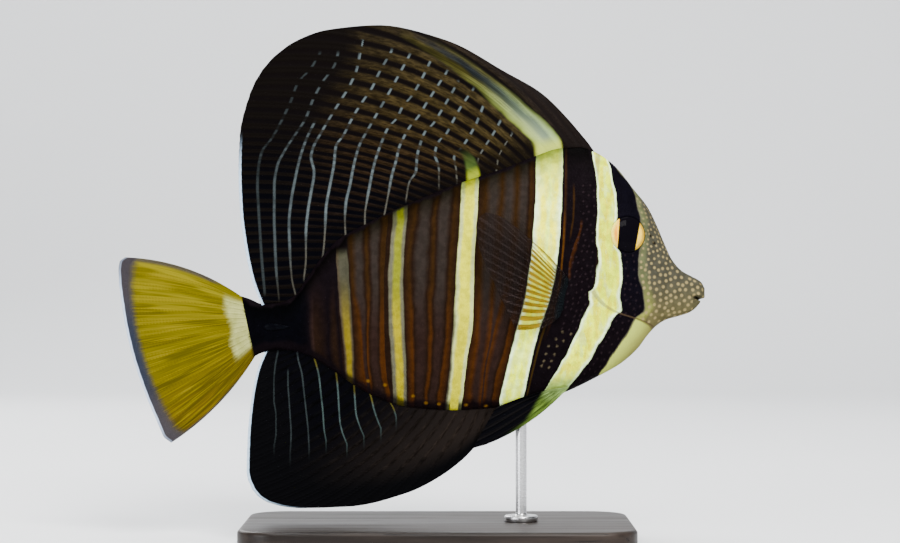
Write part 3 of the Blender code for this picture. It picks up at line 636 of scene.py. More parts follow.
# %% Key rays of the fins
DORSAL_KEYS = (
    (0, 65.9, 62.6, 55.2, 0.02), (1, 64.1, 56.5, 62.4, 0.03), (2, 61.9, 47.2, 71.4, 0.04),
    (3, 59.4, 33.5, 79.4, 0.05), (4, 56.5, 13.3, 90.3, 0.06), (5, 53.3, -10.8, 95.8, 0.08),
    (6, 49.7, -30.2, 94.0, 0.10), (7, 46.1, -43.6, 88.6, 0.12), (9, 38.9, -53.3, 79.4, 0.11),
    (11, 32.0, -57.6, 71.2, 0.08), (15, 17.6, -61.4, 56.0, 0.052), (20, 0.0, -62.0, 42.5, 0.045),
    (24, -13.3, -61.4, 29.2, 0.02), (28, -27.4, -59.8, 17.6, 0.01), (32, -36.9, -56.8, 3.8, 0.0),
    (36, -46.6, -53.0, -6.0, -0.04),
)
ANAL_KEYS = (
    (0, 31.9, 31.2, -44.6, 0.0), (1, 30.2, 26.4, -52.2, 0.01), (2, 27.8, 20.4, -59.4, 0.02),
    (3, 24.5, 11.2, -66.6, 0.03), (4, 20.8, -0.6, -72.6, 0.04), (6, 13.3, -21.6, -77.6, 0.06),
    (8, 6.1, -39.6, -78.2, 0.07), (10, -1.1, -51.2, -76.2, 0.07), (12, -7.6, -56.9, -71.6, 0.06),
    (14, -14.0, -59.0, -65.2, 0.05), (17, -23.4, -58.6, -53.6, 0.04), (20, -32.4, -57.4, -41.4, 0.03),
    (23, -40.0, -55.2, -29.6, 0.01), (26, -46.1, -51.6, -20.4, -0.04),
)
TAIL_KEYS = (
    (0, 0.02, -103.4, 12.1, 0.075), (0.5, 0.05, -105.5, 10.4, 0.062), (1, 0.08, -105.9, 7.4, 0.05),
    (4, 0.28, -104.3, -7.3, 0.01), (7, 0.46, -101.3, -21.1, 0.0), (10, 0.65, -96.7, -35.0, -0.01),
    (13, 0.85, -91.0, -48.6, -0.03), (14, 0.92, -89.0, -53.0, -0.045), (15, 0.98, -86.4, -55.0, -0.057),
)
TAIL_ROOT = ((-60.1, -2.2), (-55.9, -24.3))
PECTORAL_ROOT = ((57.4, 3.0), (54.6, -7.8))
PECTORAL_KEYS = (
    (0, 0.0, 44.4, 17.0, 0.03), (1, 0.1, 36.8, 23.2, 0.012), (2, 0.17, 31.6, 26.6, 0.015),
    (3, 0.24, 27.2, 27.7, 0.02), (5, 0.36, 23.6, 22.6, 0.02), (7, 0.48, 24.6, 15.4, 0.0),
    (9, 0.6, 27.4, 8.4, -0.03), (11, 0.74, 30.8, 0.9, -0.06), (13, 0.88, 34.4, -6.7, -0.09),
    (15, 1.0, 38.0, -14.6, -0.12),
)
PELVIC_ROOT = ((56.0, -35.5), (47.2, -36.0))
PELVIC_KEYS = (
    (0, 0.0, 26.8, -55.3, -0.06), (1, 0.2, 22.7, -56.4, -0.045), (2, 0.4, 24.3, -53.3, -0.03),
    (3, 0.6, 26.4, -49.7, -0.01), (4, 0.8, 28.6, -45.7, 0.01), (5, 1.0, 31.0, -41.8, 0.02),
)
print("key rays of the sail:", len(DORSAL_KEYS), "and of the anal fin:", len(ANAL_KEYS))

# %% Roots of the rays
GAP = 0.3


def column(keys, index):
    """One column of a fin's key rays as a smooth line over the ray number."""
    return smooth([(key[0], key[index]) for key in keys])


def clear_of(line, x, direction):
    """Height of a root beside the back or belly line, one gap off it at right angles."""
    return line(x) + direction * GAP * np.sqrt(1 + (line(x + 0.5) - line(x - 0.5)) ** 2)


def on_line(ends):
    """Roots along a straight line: the key column is the share of the way down it."""
    start, end = np.array(ends[0]), np.array(ends[1])
    return lambda down: tuple((start + (end - start) * down[:, None]).T)


print("highest tip of the sail:", round(float(column(DORSAL_KEYS, 3)(5.0)), 1), "mm")

# %% The fan
WEB_SHORTFALL = 0.0015
RAY_WIDTH = 0.15
RAY_TAPER = 0.04
SPINE_WIDTH = 0.20
SPLIT_APART = 0.2
SPLIT_SHARE = (0.42, 0.95)
LEAD = 1.3


def ray_ridge(number, share, spines):
    """Height of the ray across the web: a bell on each ray that splits in two past mid-length."""
    off = number - np.round(number)
    split = SPLIT_APART * ease(share, *SPLIT_SHARE) * (np.round(number) >= spines)
    width = np.where(np.round(number) < spines, SPINE_WIDTH, RAY_WIDTH) - RAY_TAPER * share
    bells = [np.exp(-(((off + side * split) / width) ** 2)) for side in (-1, 1)]
    return np.maximum(*bells)


def fan(roots, keys, rays, per_gap, rows, spines=0, lead=LEAD):
    """Curves root -> tip: (1-t)^2 root + 2t(1-t) control + t^2 tip, the control bowed off midway.

    The first row lies a little inside the body, so that no gap shows at the root.
    """
    numbers = np.linspace(0, rays - 1, (rays - 1) * per_gap + 1)
    root = np.stack(roots(column(keys, 1)(numbers)), axis=1)[:, None, :]
    tip = np.stack([column(keys, 2)(numbers), column(keys, 3)(numbers)], axis=1)[:, None, :]
    chord = tip - root
    length = np.linalg.norm(chord, axis=-1)
    bow = column(keys, 4)(numbers)[:, None, None]
    control = (root + tip) / 2 + 2 * bow * np.stack([chord[..., 1], -chord[..., 0]], axis=-1)
    v = np.linspace(0.0, 1.0, rows)[None, :]
    share = -lead / length + (1 + lead / length) * v
    number = np.broadcast_to(numbers[:, None], share.shape)
    t = (share * (1 - WEB_SHORTFALL * np.abs(np.sin(np.pi * number)) * np.clip(share, 0, 1)))[..., None]
    line = (1 - t) ** 2 * root + 2 * t * (1 - t) * control + t**2 * tip
    away = (1 - share) * length
    return {
        "x": line[..., 0], "z": line[..., 1], "number": number, "share": np.clip(share, 0.0, 1.0),
        "along": share * length, "margin": away, "ridge": ray_ridge(number, share, spines),
        "root_x": np.broadcast_to(root[..., 0], share.shape),
        "root_z": np.broadcast_to(root[..., 1], share.shape),
    }


print("numbers of a fan:", list(fan(on_line(PELVIC_ROOT), PELVIC_KEYS, 6, 1, 5)))

# %% Thickness and faces of a fin
WEB_HALF = 0.12
RAY_RISE = 0.24
RAY_THINS = 0.55


def thickness(sheet, root_half, fall):
    """Half thickness: fleshy at the root, thinning quickly to the web, plus the rays."""
    share = sheet["share"]
    web = WEB_HALF + (root_half - WEB_HALF) * np.exp(-fall * share)
    return web + RAY_RISE * sheet["ridge"] * (1 - RAY_THINS * share) * ease(share, 0.0, 0.06)


def on_both_faces(numbers):
    """The numbers of a sheet, once for its near face and once for its far one."""
    return {key: np.tile(np.ravel(values), 2) for key, values in numbers.items()}


def build_fin(name, sheet, half, centre, numbers):
    """A closed sheet: its near and far faces and the thin wall between them along the border."""
    x, z = sheet["x"], sheet["z"]
    near = np.stack([x, centre - half, z], axis=-1).reshape(-1, 3)
    far = np.stack([x, centre + half, z], axis=-1).reshape(-1, 3)
    index = np.arange(x.size).reshape(x.shape)
    border = np.concatenate([index[:, 0], index[-1, 1:], index[-2::-1, -1], index[0, -2:0:-1]])
    after = np.roll(border, -1)
    wall = np.stack([border, after, after + x.size, border + x.size], axis=1)
    faces = np.concatenate([grid_faces(index)[:, ::-1], grid_faces(index) + x.size, wall])
    points = np.concatenate([near, far])
    a, b, c = (points[faces[:, k]] for k in (0, 1, 2))
    if np.einsum("ij,ij->i", a, np.cross(b, c)).sum() < 0:
        faces = faces[:, ::-1]
    return make_piece(name, points, faces, on_both_faces(numbers))


def ray_numbers(sheet):
    """The numbers that every fin's material reads."""
    return {key: sheet[key] for key in ("number", "share", "along", "margin", "ridge")}


# %% [markdown]
# ## Lines on the sail and on the anal fin
#
# Pale lines run down both big fins, roughly across their rays. They are listed from tail to head
# as the bars are, and each point of a fin stores its place in that row of lines. A line has an
# upper and a lower end, so the nearest line's presence is stored as well. Towards the front of the
# sail the lines break up into one short dash in each web.

# %% Lines of the fins
SAIL_LINES = (
    ((320, 53), (311, 68), (298, 83), (291, 101), (284, 116), (272, 138), (262, 151), (258, 168),
     (257, 186), (258, 205), (260, 233), (262, 260), (265, 294)),
    ((338, 53), (335, 64), (322, 83), (313, 100), (306, 118), (295, 135), (285, 150), (277, 166),
     (274, 186), (274, 214), (275, 242), (276, 264), (279, 299)),
    ((354, 48), (346, 66), (336, 84), (327, 100), (317, 118), (306, 140), (299, 161), (295, 179),
     (291, 201), (289, 223), (290, 251), (292, 279), (296, 296)),
    ((362, 40), (357, 68), (350, 85), (341, 100), (331, 116), (321, 133), (313, 148), (311, 157),
     (314, 172), (311, 192), (308, 210), (306, 233), (306, 257), (304, 279)),
    ((392, 50), (378, 75), (372, 88), (363, 101), (354, 115), (343, 136), (336, 146), (334, 164),
     (330, 185), (326, 209), (325, 232), (323, 255), (319, 270)),
    ((410, 54), (396, 80), (386, 98), (374, 119), (366, 133), (360, 144), (356, 156), (353, 169),
     (350, 185), (346, 203), (345, 220), (346, 240)),
    ((432, 58), (419, 84), (411, 97), (403, 106), (397, 118), (388, 128), (383, 139), (378, 152),
     (374, 165), (370, 184), (367, 201), (365, 215), (365, 232)),
    ((448, 70), (433, 93), (426, 104), (418, 117), (411, 125), (404, 137), (399, 148), (396, 161),
     (392, 175), (389, 191), (384, 217)),
    ((458, 82), (446, 103), (440, 113), (433, 124), (425, 132), (420, 145), (417, 157), (416, 171),
     (409, 183), (406, 200)),
    ((474, 88), (459, 110), (452, 123), (446, 134), (439, 141), (435, 154), (439, 169), (439, 188)),
    ((484, 104), (476, 124), (470, 135), (463, 146), (454, 158), (456, 169), (457, 182)),
    ((502, 118), (492, 136), (484, 148), (478, 160), (476, 175)),
    ((512, 134), (504, 146), (498, 158), (496, 175)),
)
ANAL_LINES = (
    ((278, 351), (275, 368), (274, 382), (274, 399), (276, 416), (276, 433), (274, 446)),
    ((286, 351), (288, 371), (288, 383), (289, 399), (290, 415), (291, 433), (290, 454)),
    ((297, 349), (298, 358), (302, 374), (304, 392), (306, 410), (308, 429), (309, 447)),
    ((314, 356), (319, 376), (321, 394), (323, 413), (324, 429), (326, 440)),
    ((336, 370), (338, 390), (339, 408), (340, 422), (342, 431), (347, 444)),
    ((354, 382), (355, 399), (356, 413), (359, 424), (364, 436)),
    ((368, 388), (371, 396), (374, 409), (378, 421), (381, 428)),
    ((384, 393), (388, 399), (394, 410), (396, 417)),
)
SAIL_TOPS = {2: 121.0}
ANAL_TOPS = {1: 371.0}
TOP_FADE = 3.0
END_GAP = 40.0


def line_numbers(sheet, lines, tops, end_fade):
    """Place in the row of lines, how far the two lines around are apart, and how much one shows.

    A line shows between its ends and fades over a few steps past them. The table of tops is for
    lines that start to show only lower down than their first point.
    """
    x, z = sheet["x"], sheet["z"]
    number = along_lines(x, z, lines)
    down = to_view(x, z)[1]
    places = np.stack(line_places(down, lines))
    between = np.clip(np.floor(number), 0, len(lines) - 2).astype(int)[None]
    gap = (np.take_along_axis(places, between + 1, 0) - np.take_along_axis(places, between, 0))[0]
    gap = np.where((number < 0) | (number > len(lines) - 1), END_GAP, gap)
    nearest = np.clip(np.round(number), 0, len(lines) - 1).astype(int)
    top = np.array([tops.get(k, min(d for _, d in line)) for k, line in enumerate(lines)])[nearest]
    end = np.array([max(d for _, d in line) for line in lines])[nearest]
    shows = ease(down, top - TOP_FADE, top + TOP_FADE) * ease(down, end + end_fade, end - end_fade)
    return {"line": number, "line_gap": gap, "shows": shows}


# %% [markdown]
# ## Build the fins
#
# The sail waves gently from side to side, more towards its tip. The breast fins stand off the
# flank and the belly fins lie folded beside the keel, with the rod passing between them.

# %% Sail, anal fin and tail fin
STALK_SINK = 1.3
STALK_RAMP = (-41.0, -45.5)
SWAY_POWER = 1.6
SAIL_WAVES = ((1.5, 0.33, 0.6), (0.9, 0.13, 0.0))
ANAL_WAVES = ((1.2, 0.4, 2.2),)
TAIL_WAVES = ((0.9, 0.42, 0.5),)
ROOT_FALL = 7.0
QUICK_FALL = 9.0
TAIL_ROOT_INSET = 0.1


def roots_on(line, direction):
    """Roots one gap off the back or the belly, but sunk into the hollow of the tail's stalk."""
    return lambda x: (x, clear_of(line, x, direction) - direction * STALK_SINK * ease(x, *STALK_RAMP))


def swayed(sheet, waves):
    """Sideways place: middle plane + share^power x the sum of height sin(rate number + start)."""
    wave = sum(height * np.sin(rate * sheet["number"] + start) for height, rate, start in waves)
    return middle(sheet["x"]) + wave * sheet["share"] ** SWAY_POWER


sail_sheet = fan(roots_on(back, 1), DORSAL_KEYS, 37, 7, 130, spines=4)
sail = build_fin(
    "sail", sail_sheet, thickness(sail_sheet, edge_half(sail_sheet["root_x"]), ROOT_FALL),
    swayed(sail_sheet, SAIL_WAVES),
    {**ray_numbers(sail_sheet), **line_numbers(sail_sheet, SAIL_LINES, SAIL_TOPS, end_fade=4.0)},
)
anal_keys = [(*key[:4], -key[4]) for key in ANAL_KEYS]
anal_sheet = fan(roots_on(belly, -1), anal_keys, 27, 7, 100, spines=3)
anal = build_fin(
    "anal_sail", anal_sheet, thickness(anal_sheet, edge_half(anal_sheet["root_x"]), ROOT_FALL),
    swayed(anal_sheet, ANAL_WAVES),
    {**ray_numbers(anal_sheet), **line_numbers(anal_sheet, ANAL_LINES, ANAL_TOPS, end_fade=16.0)},
)
tail_sheet = fan(on_line(TAIL_ROOT), TAIL_KEYS, 16, 12, 90, lead=2.0)
tail_root_half = flank(tail_sheet["root_x"] + GAP, tail_sheet["root_z"]) - TAIL_ROOT_INSET
tail = build_fin(
    "tail_fan", tail_sheet, thickness(tail_sheet, tail_root_half, QUICK_FALL),
    swayed(tail_sheet, TAIL_WAVES), ray_numbers(tail_sheet),
)

# %% Breast and belly fins
PECTORAL_SPREAD = 0.22
PECTORAL_HELD = 3.0
PECTORAL_LIFT = 0.5
PECTORAL_SUNK = 1.3
PECTORAL_ROOT_HALF = 0.9
PELVIC_OFFSET = 3.0
PELVIC_SPREAD = 0.6
PELVIC_ROOT_HALF = 0.8
PELVIC_TURN = 4.0
SIDES = {"right": -1, "left": 1}


def both_sides(build, name):
    """One piece for each side of the fish."""
    return {side: build(sign, name + side) for side, sign in SIDES.items()}


def pectoral_fin(side, name):
    """A breast fin: its middle surface stands off the flank by a share of the way from the root."""
    sheet = fan(on_line(PECTORAL_ROOT), PECTORAL_KEYS, 16, 10, 64)
    away = np.hypot(sheet["x"] - sheet["root_x"], sheet["z"] - sheet["root_z"])
    grown = ease(sheet["along"], -0.8, 2.6)
    sides = ease(sheet["number"], -0.6, 2.5) * ease(sheet["number"], 15.6, 12.5)
    half = thickness(sheet, PECTORAL_ROOT_HALF, QUICK_FALL) * (1 - (1 - grown) * (1 - sides))
    off = PECTORAL_SPREAD * np.clip(away - PECTORAL_HELD, 0.0, None)
    height = (GAP + PECTORAL_LIFT) * grown - PECTORAL_SUNK * (1 - grown) * (1.6 - sides)
    centre = side * (flank(sheet["x"], sheet["z"], GILL_STEP) + height + off)
    bar = along_lines(sheet["x"], sheet["z"], BAR_LINES, np.abs(centre))
    return build_fin(name, sheet, half, centre, {**ray_numbers(sheet), "bar": bar})


def pelvic_fin(side, name):
    """A belly fin: it hugs the belly, then hangs beside the keel. log(e^a + e^b) blends the two."""
    sheet = fan(on_line(PELVIC_ROOT), PELVIC_KEYS, 6, 14, 70, spines=1)
    x, z = sheet["x"], sheet["z"]
    half = thickness(sheet, PELVIC_ROOT_HALF, ROOT_FALL)
    body = np.where(z > belly(x), flank(x, z), 0.0)
    clear = np.logaddexp(PELVIC_TURN * (body + GAP), PELVIC_TURN * PELVIC_OFFSET) / PELVIC_TURN
    centre = side * (clear + half + PELVIC_SPREAD * sheet["share"])
    return build_fin(name, sheet, half, centre, ray_numbers(sheet))


breast_fins = both_sides(pectoral_fin, "breast_fin_")
belly_fins = both_sides(pelvic_fin, "belly_fin_")

# %% [markdown]
# ## Eyes, blades and the stand
#
# The eyes stay pieces of their own. Each is a shallow dome over a deeper bowl, turned about the
# skin's outward normal. The folded blades of the tail stalk give the surgeonfishes their name. The
# stand is a board with round corners and a turned rod with a collar.

# %% Solids of revolution
def aimed_axes(outward):
    """Three unit vectors: one across, one up and one outward, for a turned piece on the flank."""
    outward = np.asarray(outward, float) / np.linalg.norm(outward)
    across = np.cross((0.0, 0.0, 1.0), outward)
    across /= np.linalg.norm(across)
    return across, np.cross(outward, across), outward


def ring_faces(rings, sides):
    """Triangles between rings that start at the top, with two poles whose points come last."""
    index = np.arange(rings * sides).reshape(rings, sides)
    around = np.roll(index, -1, axis=1)
    top, foot = (np.full(sides, rings * sides + k) for k in (0, 1))
    quads = np.stack([index[:-1], index[1:], around[1:], around[:-1]], axis=-1).reshape(-1, 4)
    return np.concatenate([
        quads[:, [0, 1, 2]], quads[:, [0, 2, 3]],
        np.stack([top, index[0], around[0]], axis=1), np.stack([foot, around[-1], index[-1]], axis=1),
    ])


def turned(name, radii, heights, sides, origin, axes):
    """Rings of points: origin + radius (cos a across + sin a up) + height outward, poles closed."""
    angles = np.linspace(0.0, 2 * np.pi, sides, endpoint=False)
    across, up, outward = (np.asarray(axis, float) for axis in axes)
    turn = np.cos(angles)[:, None] * across + np.sin(angles)[:, None] * up
    rings = radii[1:-1, None, None] * turn + heights[1:-1, None, None] * outward
    poles = heights[[0, -1], None] * outward
    points = np.concatenate([rings.reshape(-1, 3), poles]) + origin
    return make_piece(name, points, ring_faces(len(rings), sides))


# %% Eyes
EYE_SINK = 0.1
EYE_DOME = 1.75
EYE_DEPTH = 3.9
EYE_RINGS = 44
EYE_SIDES = 96


def build_eye(side, name):
    """Front and back are halves of two ellipsoids: radius R sin t, height dome or depth times cos t."""
    t = np.linspace(0.0, np.pi, EYE_RINGS)
    heights = np.where(t < np.pi / 2, EYE_DOME, EYE_DEPTH) * np.cos(t)
    slope_x, slope_z = eye_slopes()
    axes = aimed_axes((-slope_x, side, -slope_z))
    origin = np.array([EYE_PLACE[0], side * (float(flank(*EYE_PLACE)) - EYE_SINK), EYE_PLACE[1]])
    piece = turned(name, EYE_RADIUS * np.sin(t), heights, EYE_SIDES, origin, axes)
    points = np.zeros(3 * len(piece.data.vertices), np.float32)
    piece.data.vertices.foreach_get("co", points)
    off = points.reshape(-1, 3) / MM - (0.0, 0.0, LIFT) - origin
    from_axis = np.linalg.norm(off - np.outer(off @ axes[2], axes[2]), axis=1)
    places = {"across": off[:, 0], "up": off[:, 2], "rim": from_axis}
    store(piece, {key: values / EYE_RADIUS for key, values in places.items()})
    return piece


eyes = both_sides(build_eye, "eyeball_")

# %% Folded blades of the tail stalk
BLADE_REAR = -52.4
BLADE_TIP = -42.8
BLADE_Z = -13.0
BLADE_HALF_HEIGHT = 1.25
BLADE_THICKNESS = 1.1
BLADE_WIDEST = 0.3
BLADE_EDGE = 0.05
BLADE_OFF_SKIN = 0.1


def build_blade(side, name):
    """A lancet: round behind, drawn out to a point in front, crowned across its width."""
    along, across = np.meshgrid(np.linspace(0.0, 1.0, 61), np.linspace(-1.0, 1.0, 25), indexing="ij")
    behind = np.sqrt(np.clip(1 - (1 - along / BLADE_WIDEST) ** 2, 0.0, None))
    ahead = 1 - (np.clip(along - BLADE_WIDEST, 0.0, None) / (1 - BLADE_WIDEST)) ** 1.5
    outline = np.where(along < BLADE_WIDEST, behind, ahead)
    x = BLADE_REAR + (BLADE_TIP - BLADE_REAR) * along
    z = BLADE_Z + BLADE_HALF_HEIGHT * (0.04 + 0.96 * outline) * across
    crown = outline * np.sqrt(1 - 0.98 * across**2)
    half = BLADE_EDGE + (BLADE_THICKNESS / 2 - BLADE_EDGE) * crown
    centre = middle(x) + side * (flank(x, z) + BLADE_OFF_SKIN)
    return build_fin(name, {"x": x, "z": z}, half, centre, {"along": along})


blades = both_sides(build_blade, "blade_")

# %% Board
BASE_SIZE = (140.0, 80.0, 8.0)
BASE_CENTRE_X = 10.0
BASE_CORNER = 14.0
BEVEL = 1.5
FOOT_EDGE = 0.15


def build_board():
    """The outline is a rectangle's corner circles; each level of the profile shrinks it inward."""
    angle = np.linspace(0.0, 2 * np.pi, 192, endpoint=False) + np.pi / 192
    side_x, side_y = np.cos(angle), np.sin(angle)
    length, width, tall = BASE_SIZE
    turn = np.linspace(0.0, np.pi / 2, 9)
    inset = np.concatenate([[12.0, 3.0, 0.4], [0.1, 0.0], BEVEL * (1 - np.cos(turn)), [3.0, 9.0, 20.0]])
    level = np.concatenate([[0.0] * 3, [FOOT_EDGE, 0.5], tall - BEVEL + BEVEL * np.sin(turn), [tall] * 3])
    inset, level = inset[::-1], level[::-1]
    reach = np.clip(BASE_CORNER - inset, 0.5, None)[:, None]
    shrink = np.clip(inset - BASE_CORNER + 0.5, 0.0, None)[:, None]
    x = np.sign(side_x) * (length / 2 - BASE_CORNER - shrink) + reach * side_x
    y = np.sign(side_y) * (width / 2 - BASE_CORNER - shrink) + reach * side_y
    z = np.broadcast_to(level[:, None] - LIFT, x.shape)
    rings = np.stack([BASE_CENTRE_X + x, y, z], axis=-1)
    middles = np.array([[BASE_CENTRE_X, 0.0, tall - LIFT], [BASE_CENTRE_X, 0.0, -LIFT]])
    return make_piece("board", np.concatenate([rings.reshape(-1, 3), middles]), ring_faces(*x.shape))


board = build_board()

# %% Rod
ROD_X = 40.0
ROD_RADIUS = 2.0
ROD_SINK = 8.0
ROD_END = 0.5
FILLET = 0.8
COLLAR_RADIUS = 6.0
COLLAR_HEIGHT = 2.2
COLLAR_END = 0.6


def build_rod():
    """A turned profile, top to bottom: a rod with an eased end, then a collar with a fillet."""
    foot = BASE_SIZE[2] - LIFT + 0.02
    top = float(belly(ROD_X)) + ROD_SINK - GAP
    crown = foot + COLLAR_HEIGHT
    turn = np.linspace(0.0, np.pi / 2, 7)
    shaft = np.linspace(top - 1.5, crown + 2.0, 12)
    radii = np.concatenate([
        [0.0], ROD_RADIUS - ROD_END + ROD_END * np.sin(turn), np.full(len(shaft), ROD_RADIUS),
        ROD_RADIUS + FILLET * (1 - np.cos(turn)), COLLAR_RADIUS - COLLAR_END + COLLAR_END * np.sin(turn),
        [COLLAR_RADIUS, COLLAR_RADIUS - 0.2, 0.0]])
    heights = np.concatenate([
        [top], top - ROD_END + ROD_END * np.cos(turn), shaft,
        crown + FILLET * (1 - np.sin(turn)), crown - COLLAR_END + COLLAR_END * np.cos(turn),
        [foot + 0.2, foot, foot]])
    return turned("rod", radii, heights, 64, np.array([ROD_X, 0.0, 0.0]), np.eye(3))


rod = build_rod()

# %% [markdown]
# ## A short way to lay nodes
#
# Materials are networks of nodes. This helper adds one node per call and gives back its output, so
# that a material reads like a recipe.

# %% Paint
def paint(code):
    """A colour as written on a paint card, #rrggbb, turned to the linear values that nodes use."""
    parts = [int(code[k:k + 2], 16) / 255 for k in (1, 3, 5)]
    return (*[c / 12.92 if c <= 0.04045 else ((c + 0.055) / 1.055) ** 2.4 for c in parts], 1.0)


print("middle grey:", [round(c, 3) for c in paint("#808080")])


# %% Node helper
class Recipe:
    """Lays nodes in one tree."""

    def __init__(self, tree):
        self.tree = tree

    def put(self, kind, inputs=None, **settings):
        node = self.tree.nodes.new("ShaderNode" + kind)
        for key, value in settings.items():
            setattr(node, key, value)
        for key, value in (inputs or {}).items():
            self.feed(node.inputs[key], value)
        return node

    def feed(self, socket, value):
        if isinstance(value, bpy.types.NodeSocket):
            self.tree.links.new(value, socket)
        else:
            socket.default_value = value

    def number(self, name):
        return self.put("Attribute", attribute_name=name).outputs["Fac"]

    def math(self, operation, *values):
        return self.put("Math", dict(enumerate(values)), operation=operation).outputs[0]

    def times(self, first, *others):
        """The product of several numbers."""
        for other in others:
            first = self.math("MULTIPLY", first, other)
        return first

    def rest(self, share):
        """What a share leaves of 1."""
        return self.math("SUBTRACT", 1.0, share)

    def off_whole(self, number):
        """How far a number is from the nearest whole one."""
        return self.math("ABSOLUTE", self.math("SUBTRACT", number, self.math("ROUND", number)))

    def waver(self, value, noise, much):
        """A value moved up and down by noise, whose middle, 0.5, leaves it as it is."""
        return self.math("MULTIPLY_ADD", self.math("SUBTRACT", noise, 0.5), much, value)

    def mix(self, share, first, second, blend="MIX"):
        inputs = {0: share, 6: first, 7: second}
        return self.put("Mix", inputs, data_type="RGBA", blend_type=blend).outputs[2]

    def tint(self, colour, other):
        """A colour multiplied by another colour or by a number."""
        return self.mix(1.0, colour, other, "MULTIPLY")

    def between(self, value, low, high, to_low=0.0, to_high=1.0, kind="SMOOTHSTEP"):
        inputs = {"Value": value, "From Min": low, "From Max": high, "To Min": to_low, "To Max": to_high}
        return self.put("MapRange", inputs, interpolation_type=kind).outputs["Result"]

    def place(self, scale=(1.0, 1.0, 1.0)):
        spot = self.put("TexCoord").outputs["Object"]
        return self.put("Mapping", {"Vector": spot, "Scale": scale}).outputs[0]

    def noise(self, scale, detail=2.0, stretch=(1.0, 1.0, 1.0), roughness=0.5):
        inputs = {"Vector": self.place(stretch), "Scale": scale, "Detail": detail, "Roughness": roughness}
        return self.put("TexNoise", inputs).outputs[0]

    def ray_streaks(self, across, along, detail=3.0):
        """Noise drawn out along a fin's rays: its place is the ray number and the way along it."""
        spot = {0: self.times(self.number("number"), across), 1: self.times(self.number("along"), along)}
        inputs = {"Vector": self.put("CombineXYZ", spot).outputs[0], "Scale": 1.0, "Detail": detail}
        return self.put("TexNoise", inputs).outputs[0]

    def ramp(self, value, stops):
        node = self.put("ValToRGB", {"Fac": value})
        points = node.color_ramp.elements
        points[0].position, points[-1].position = stops[0][0], stops[-1][0]
        points[0].color, points[-1].color = stops[0][1], stops[-1][1]
        for place, colour in stops[1:-1]:
            points.new(place).color = colour
        return node.outputs["Color"]

    def group(self, tree, **inputs):
        node = self.tree.nodes.new("ShaderNodeGroup")
        node.node_tree = tree
        for key, value in inputs.items():
            self.feed(node.inputs[key.replace("_", " ").capitalize()], value)
        return node.outputs


# %% New groups and materials
def new_group(name, inputs, outputs):
    """An empty node group with number inputs, and outputs given as name and kind."""
    tree = bpy.data.node_groups.new(name, "ShaderNodeTree")
    for key, value in inputs.items():
        socket = tree.interface.new_socket(key, in_out="INPUT", socket_type="NodeSocketFloat")
        socket.default_value = value
    for key, kind in outputs.items():
        tree.interface.new_socket(key, in_out="OUTPUT", socket_type="NodeSocket" + kind)
    return tree, tree.nodes.new("NodeGroupInput").outputs, tree.nodes.new("NodeGroupOutput").inputs


def new_material(name, **plain):
    """A material whose plain values sit on the Principled shader's own sockets."""
    made = bpy.data.materials.new(name)
    made.use_nodes = True
    shader = made.node_tree.nodes["Principled BSDF"]
    for key, value in plain.items():
        shader.inputs[key.replace("_", " ")].default_value = value
    return made, Recipe(made.node_tree), shader.inputs


def cover(r, shader, colour, roughness, relief=None, strength=0.5, depth=0.0002):
    """Ties a colour, a roughness and a relief, with its depth in metres, to the shader."""
    r.feed(shader["Base Color"], colour)
    r.feed(shader["Roughness"], roughness)
    if relief is not None:
        bump = r.put("Bump", {"Strength": strength, "Distance": depth, "Height": relief})
        r.feed(shader["Normal"], bump.outputs[0])


# %% [markdown]
# ## Effects that several finishes share
#
# Four node groups are built once. The scale group is a fine net of small cells for bump and a faint
# change of shade. The ray group turns a ray's ridge into a mask and adds the joints along it. The
# line group draws a thin line where the row-of-lines number is near a whole number. The mottle
# group is a soft patchiness, because no living surface has one even colour.

# %% Shared node groups
def build_scales():
    outputs = {"Height": "Float", "Shade": "Float"}
    tree, given, wanted = new_group("fine_scales", {"Density": 1300.0}, outputs)
    r = Recipe(tree)
    inputs = {"Vector": r.place((1.0, 1.0, 0.7)), "Scale": given["Density"], "Randomness": 0.75}
    cells = r.put("TexVoronoi", inputs, feature="F1").outputs["Distance"]
    r.feed(wanted["Height"], r.between(cells, 0.75, 0.05))
    r.feed(wanted["Shade"], r.between(cells, 0.2, 0.8))
    return tree


def build_ray_marks():
    inputs = {"Number": 0.0, "Ridge": 0.0, "Along": 0.0, "Joint length": 1.3, "Half width": 0.2}
    outputs = {"Mask": "Float", "Height": "Float"}
    tree, given, wanted = new_group("ray_marks", inputs, outputs)
    r = Recipe(tree)
    off = r.math("DIVIDE", r.off_whole(given["Number"]), given["Half width"])
    r.feed(wanted["Mask"], r.between(off, 1.35, 0.65))
    turns = r.math("DIVIDE", given["Along"], given["Joint length"])
    wave = r.math("SINE", r.times(turns, 2 * math.pi))
    bony = r.between(given["Ridge"], 0.25, 0.75)
    r.feed(wanted["Height"], r.times(bony, r.math("MULTIPLY_ADD", wave, 0.3, 0.7)))
    return tree


def build_drawn_line():
    inputs = {"Number": 0.0, "Gap": 15.0, "Shows": 1.0, "Half width": 1.2}
    tree, given, wanted = new_group("drawn_line", inputs, {"Mask": "Float"})
    r = Recipe(tree)
    off = r.math("DIVIDE", r.times(r.off_whole(given["Number"]), given["Gap"]), given["Half width"])
    r.feed(wanted["Mask"], r.times(r.between(off, 1.5, 0.5), given["Shows"]))
    return tree


def build_mottle():
    tree, given, wanted = new_group("mottle", {"Density": 200.0}, {"Shade": "Float"})
    r = Recipe(tree)
    noise = r.noise(given["Density"], detail=4.0)
    r.feed(wanted["Shade"], r.between(noise, 0.3, 0.7))
    return tree


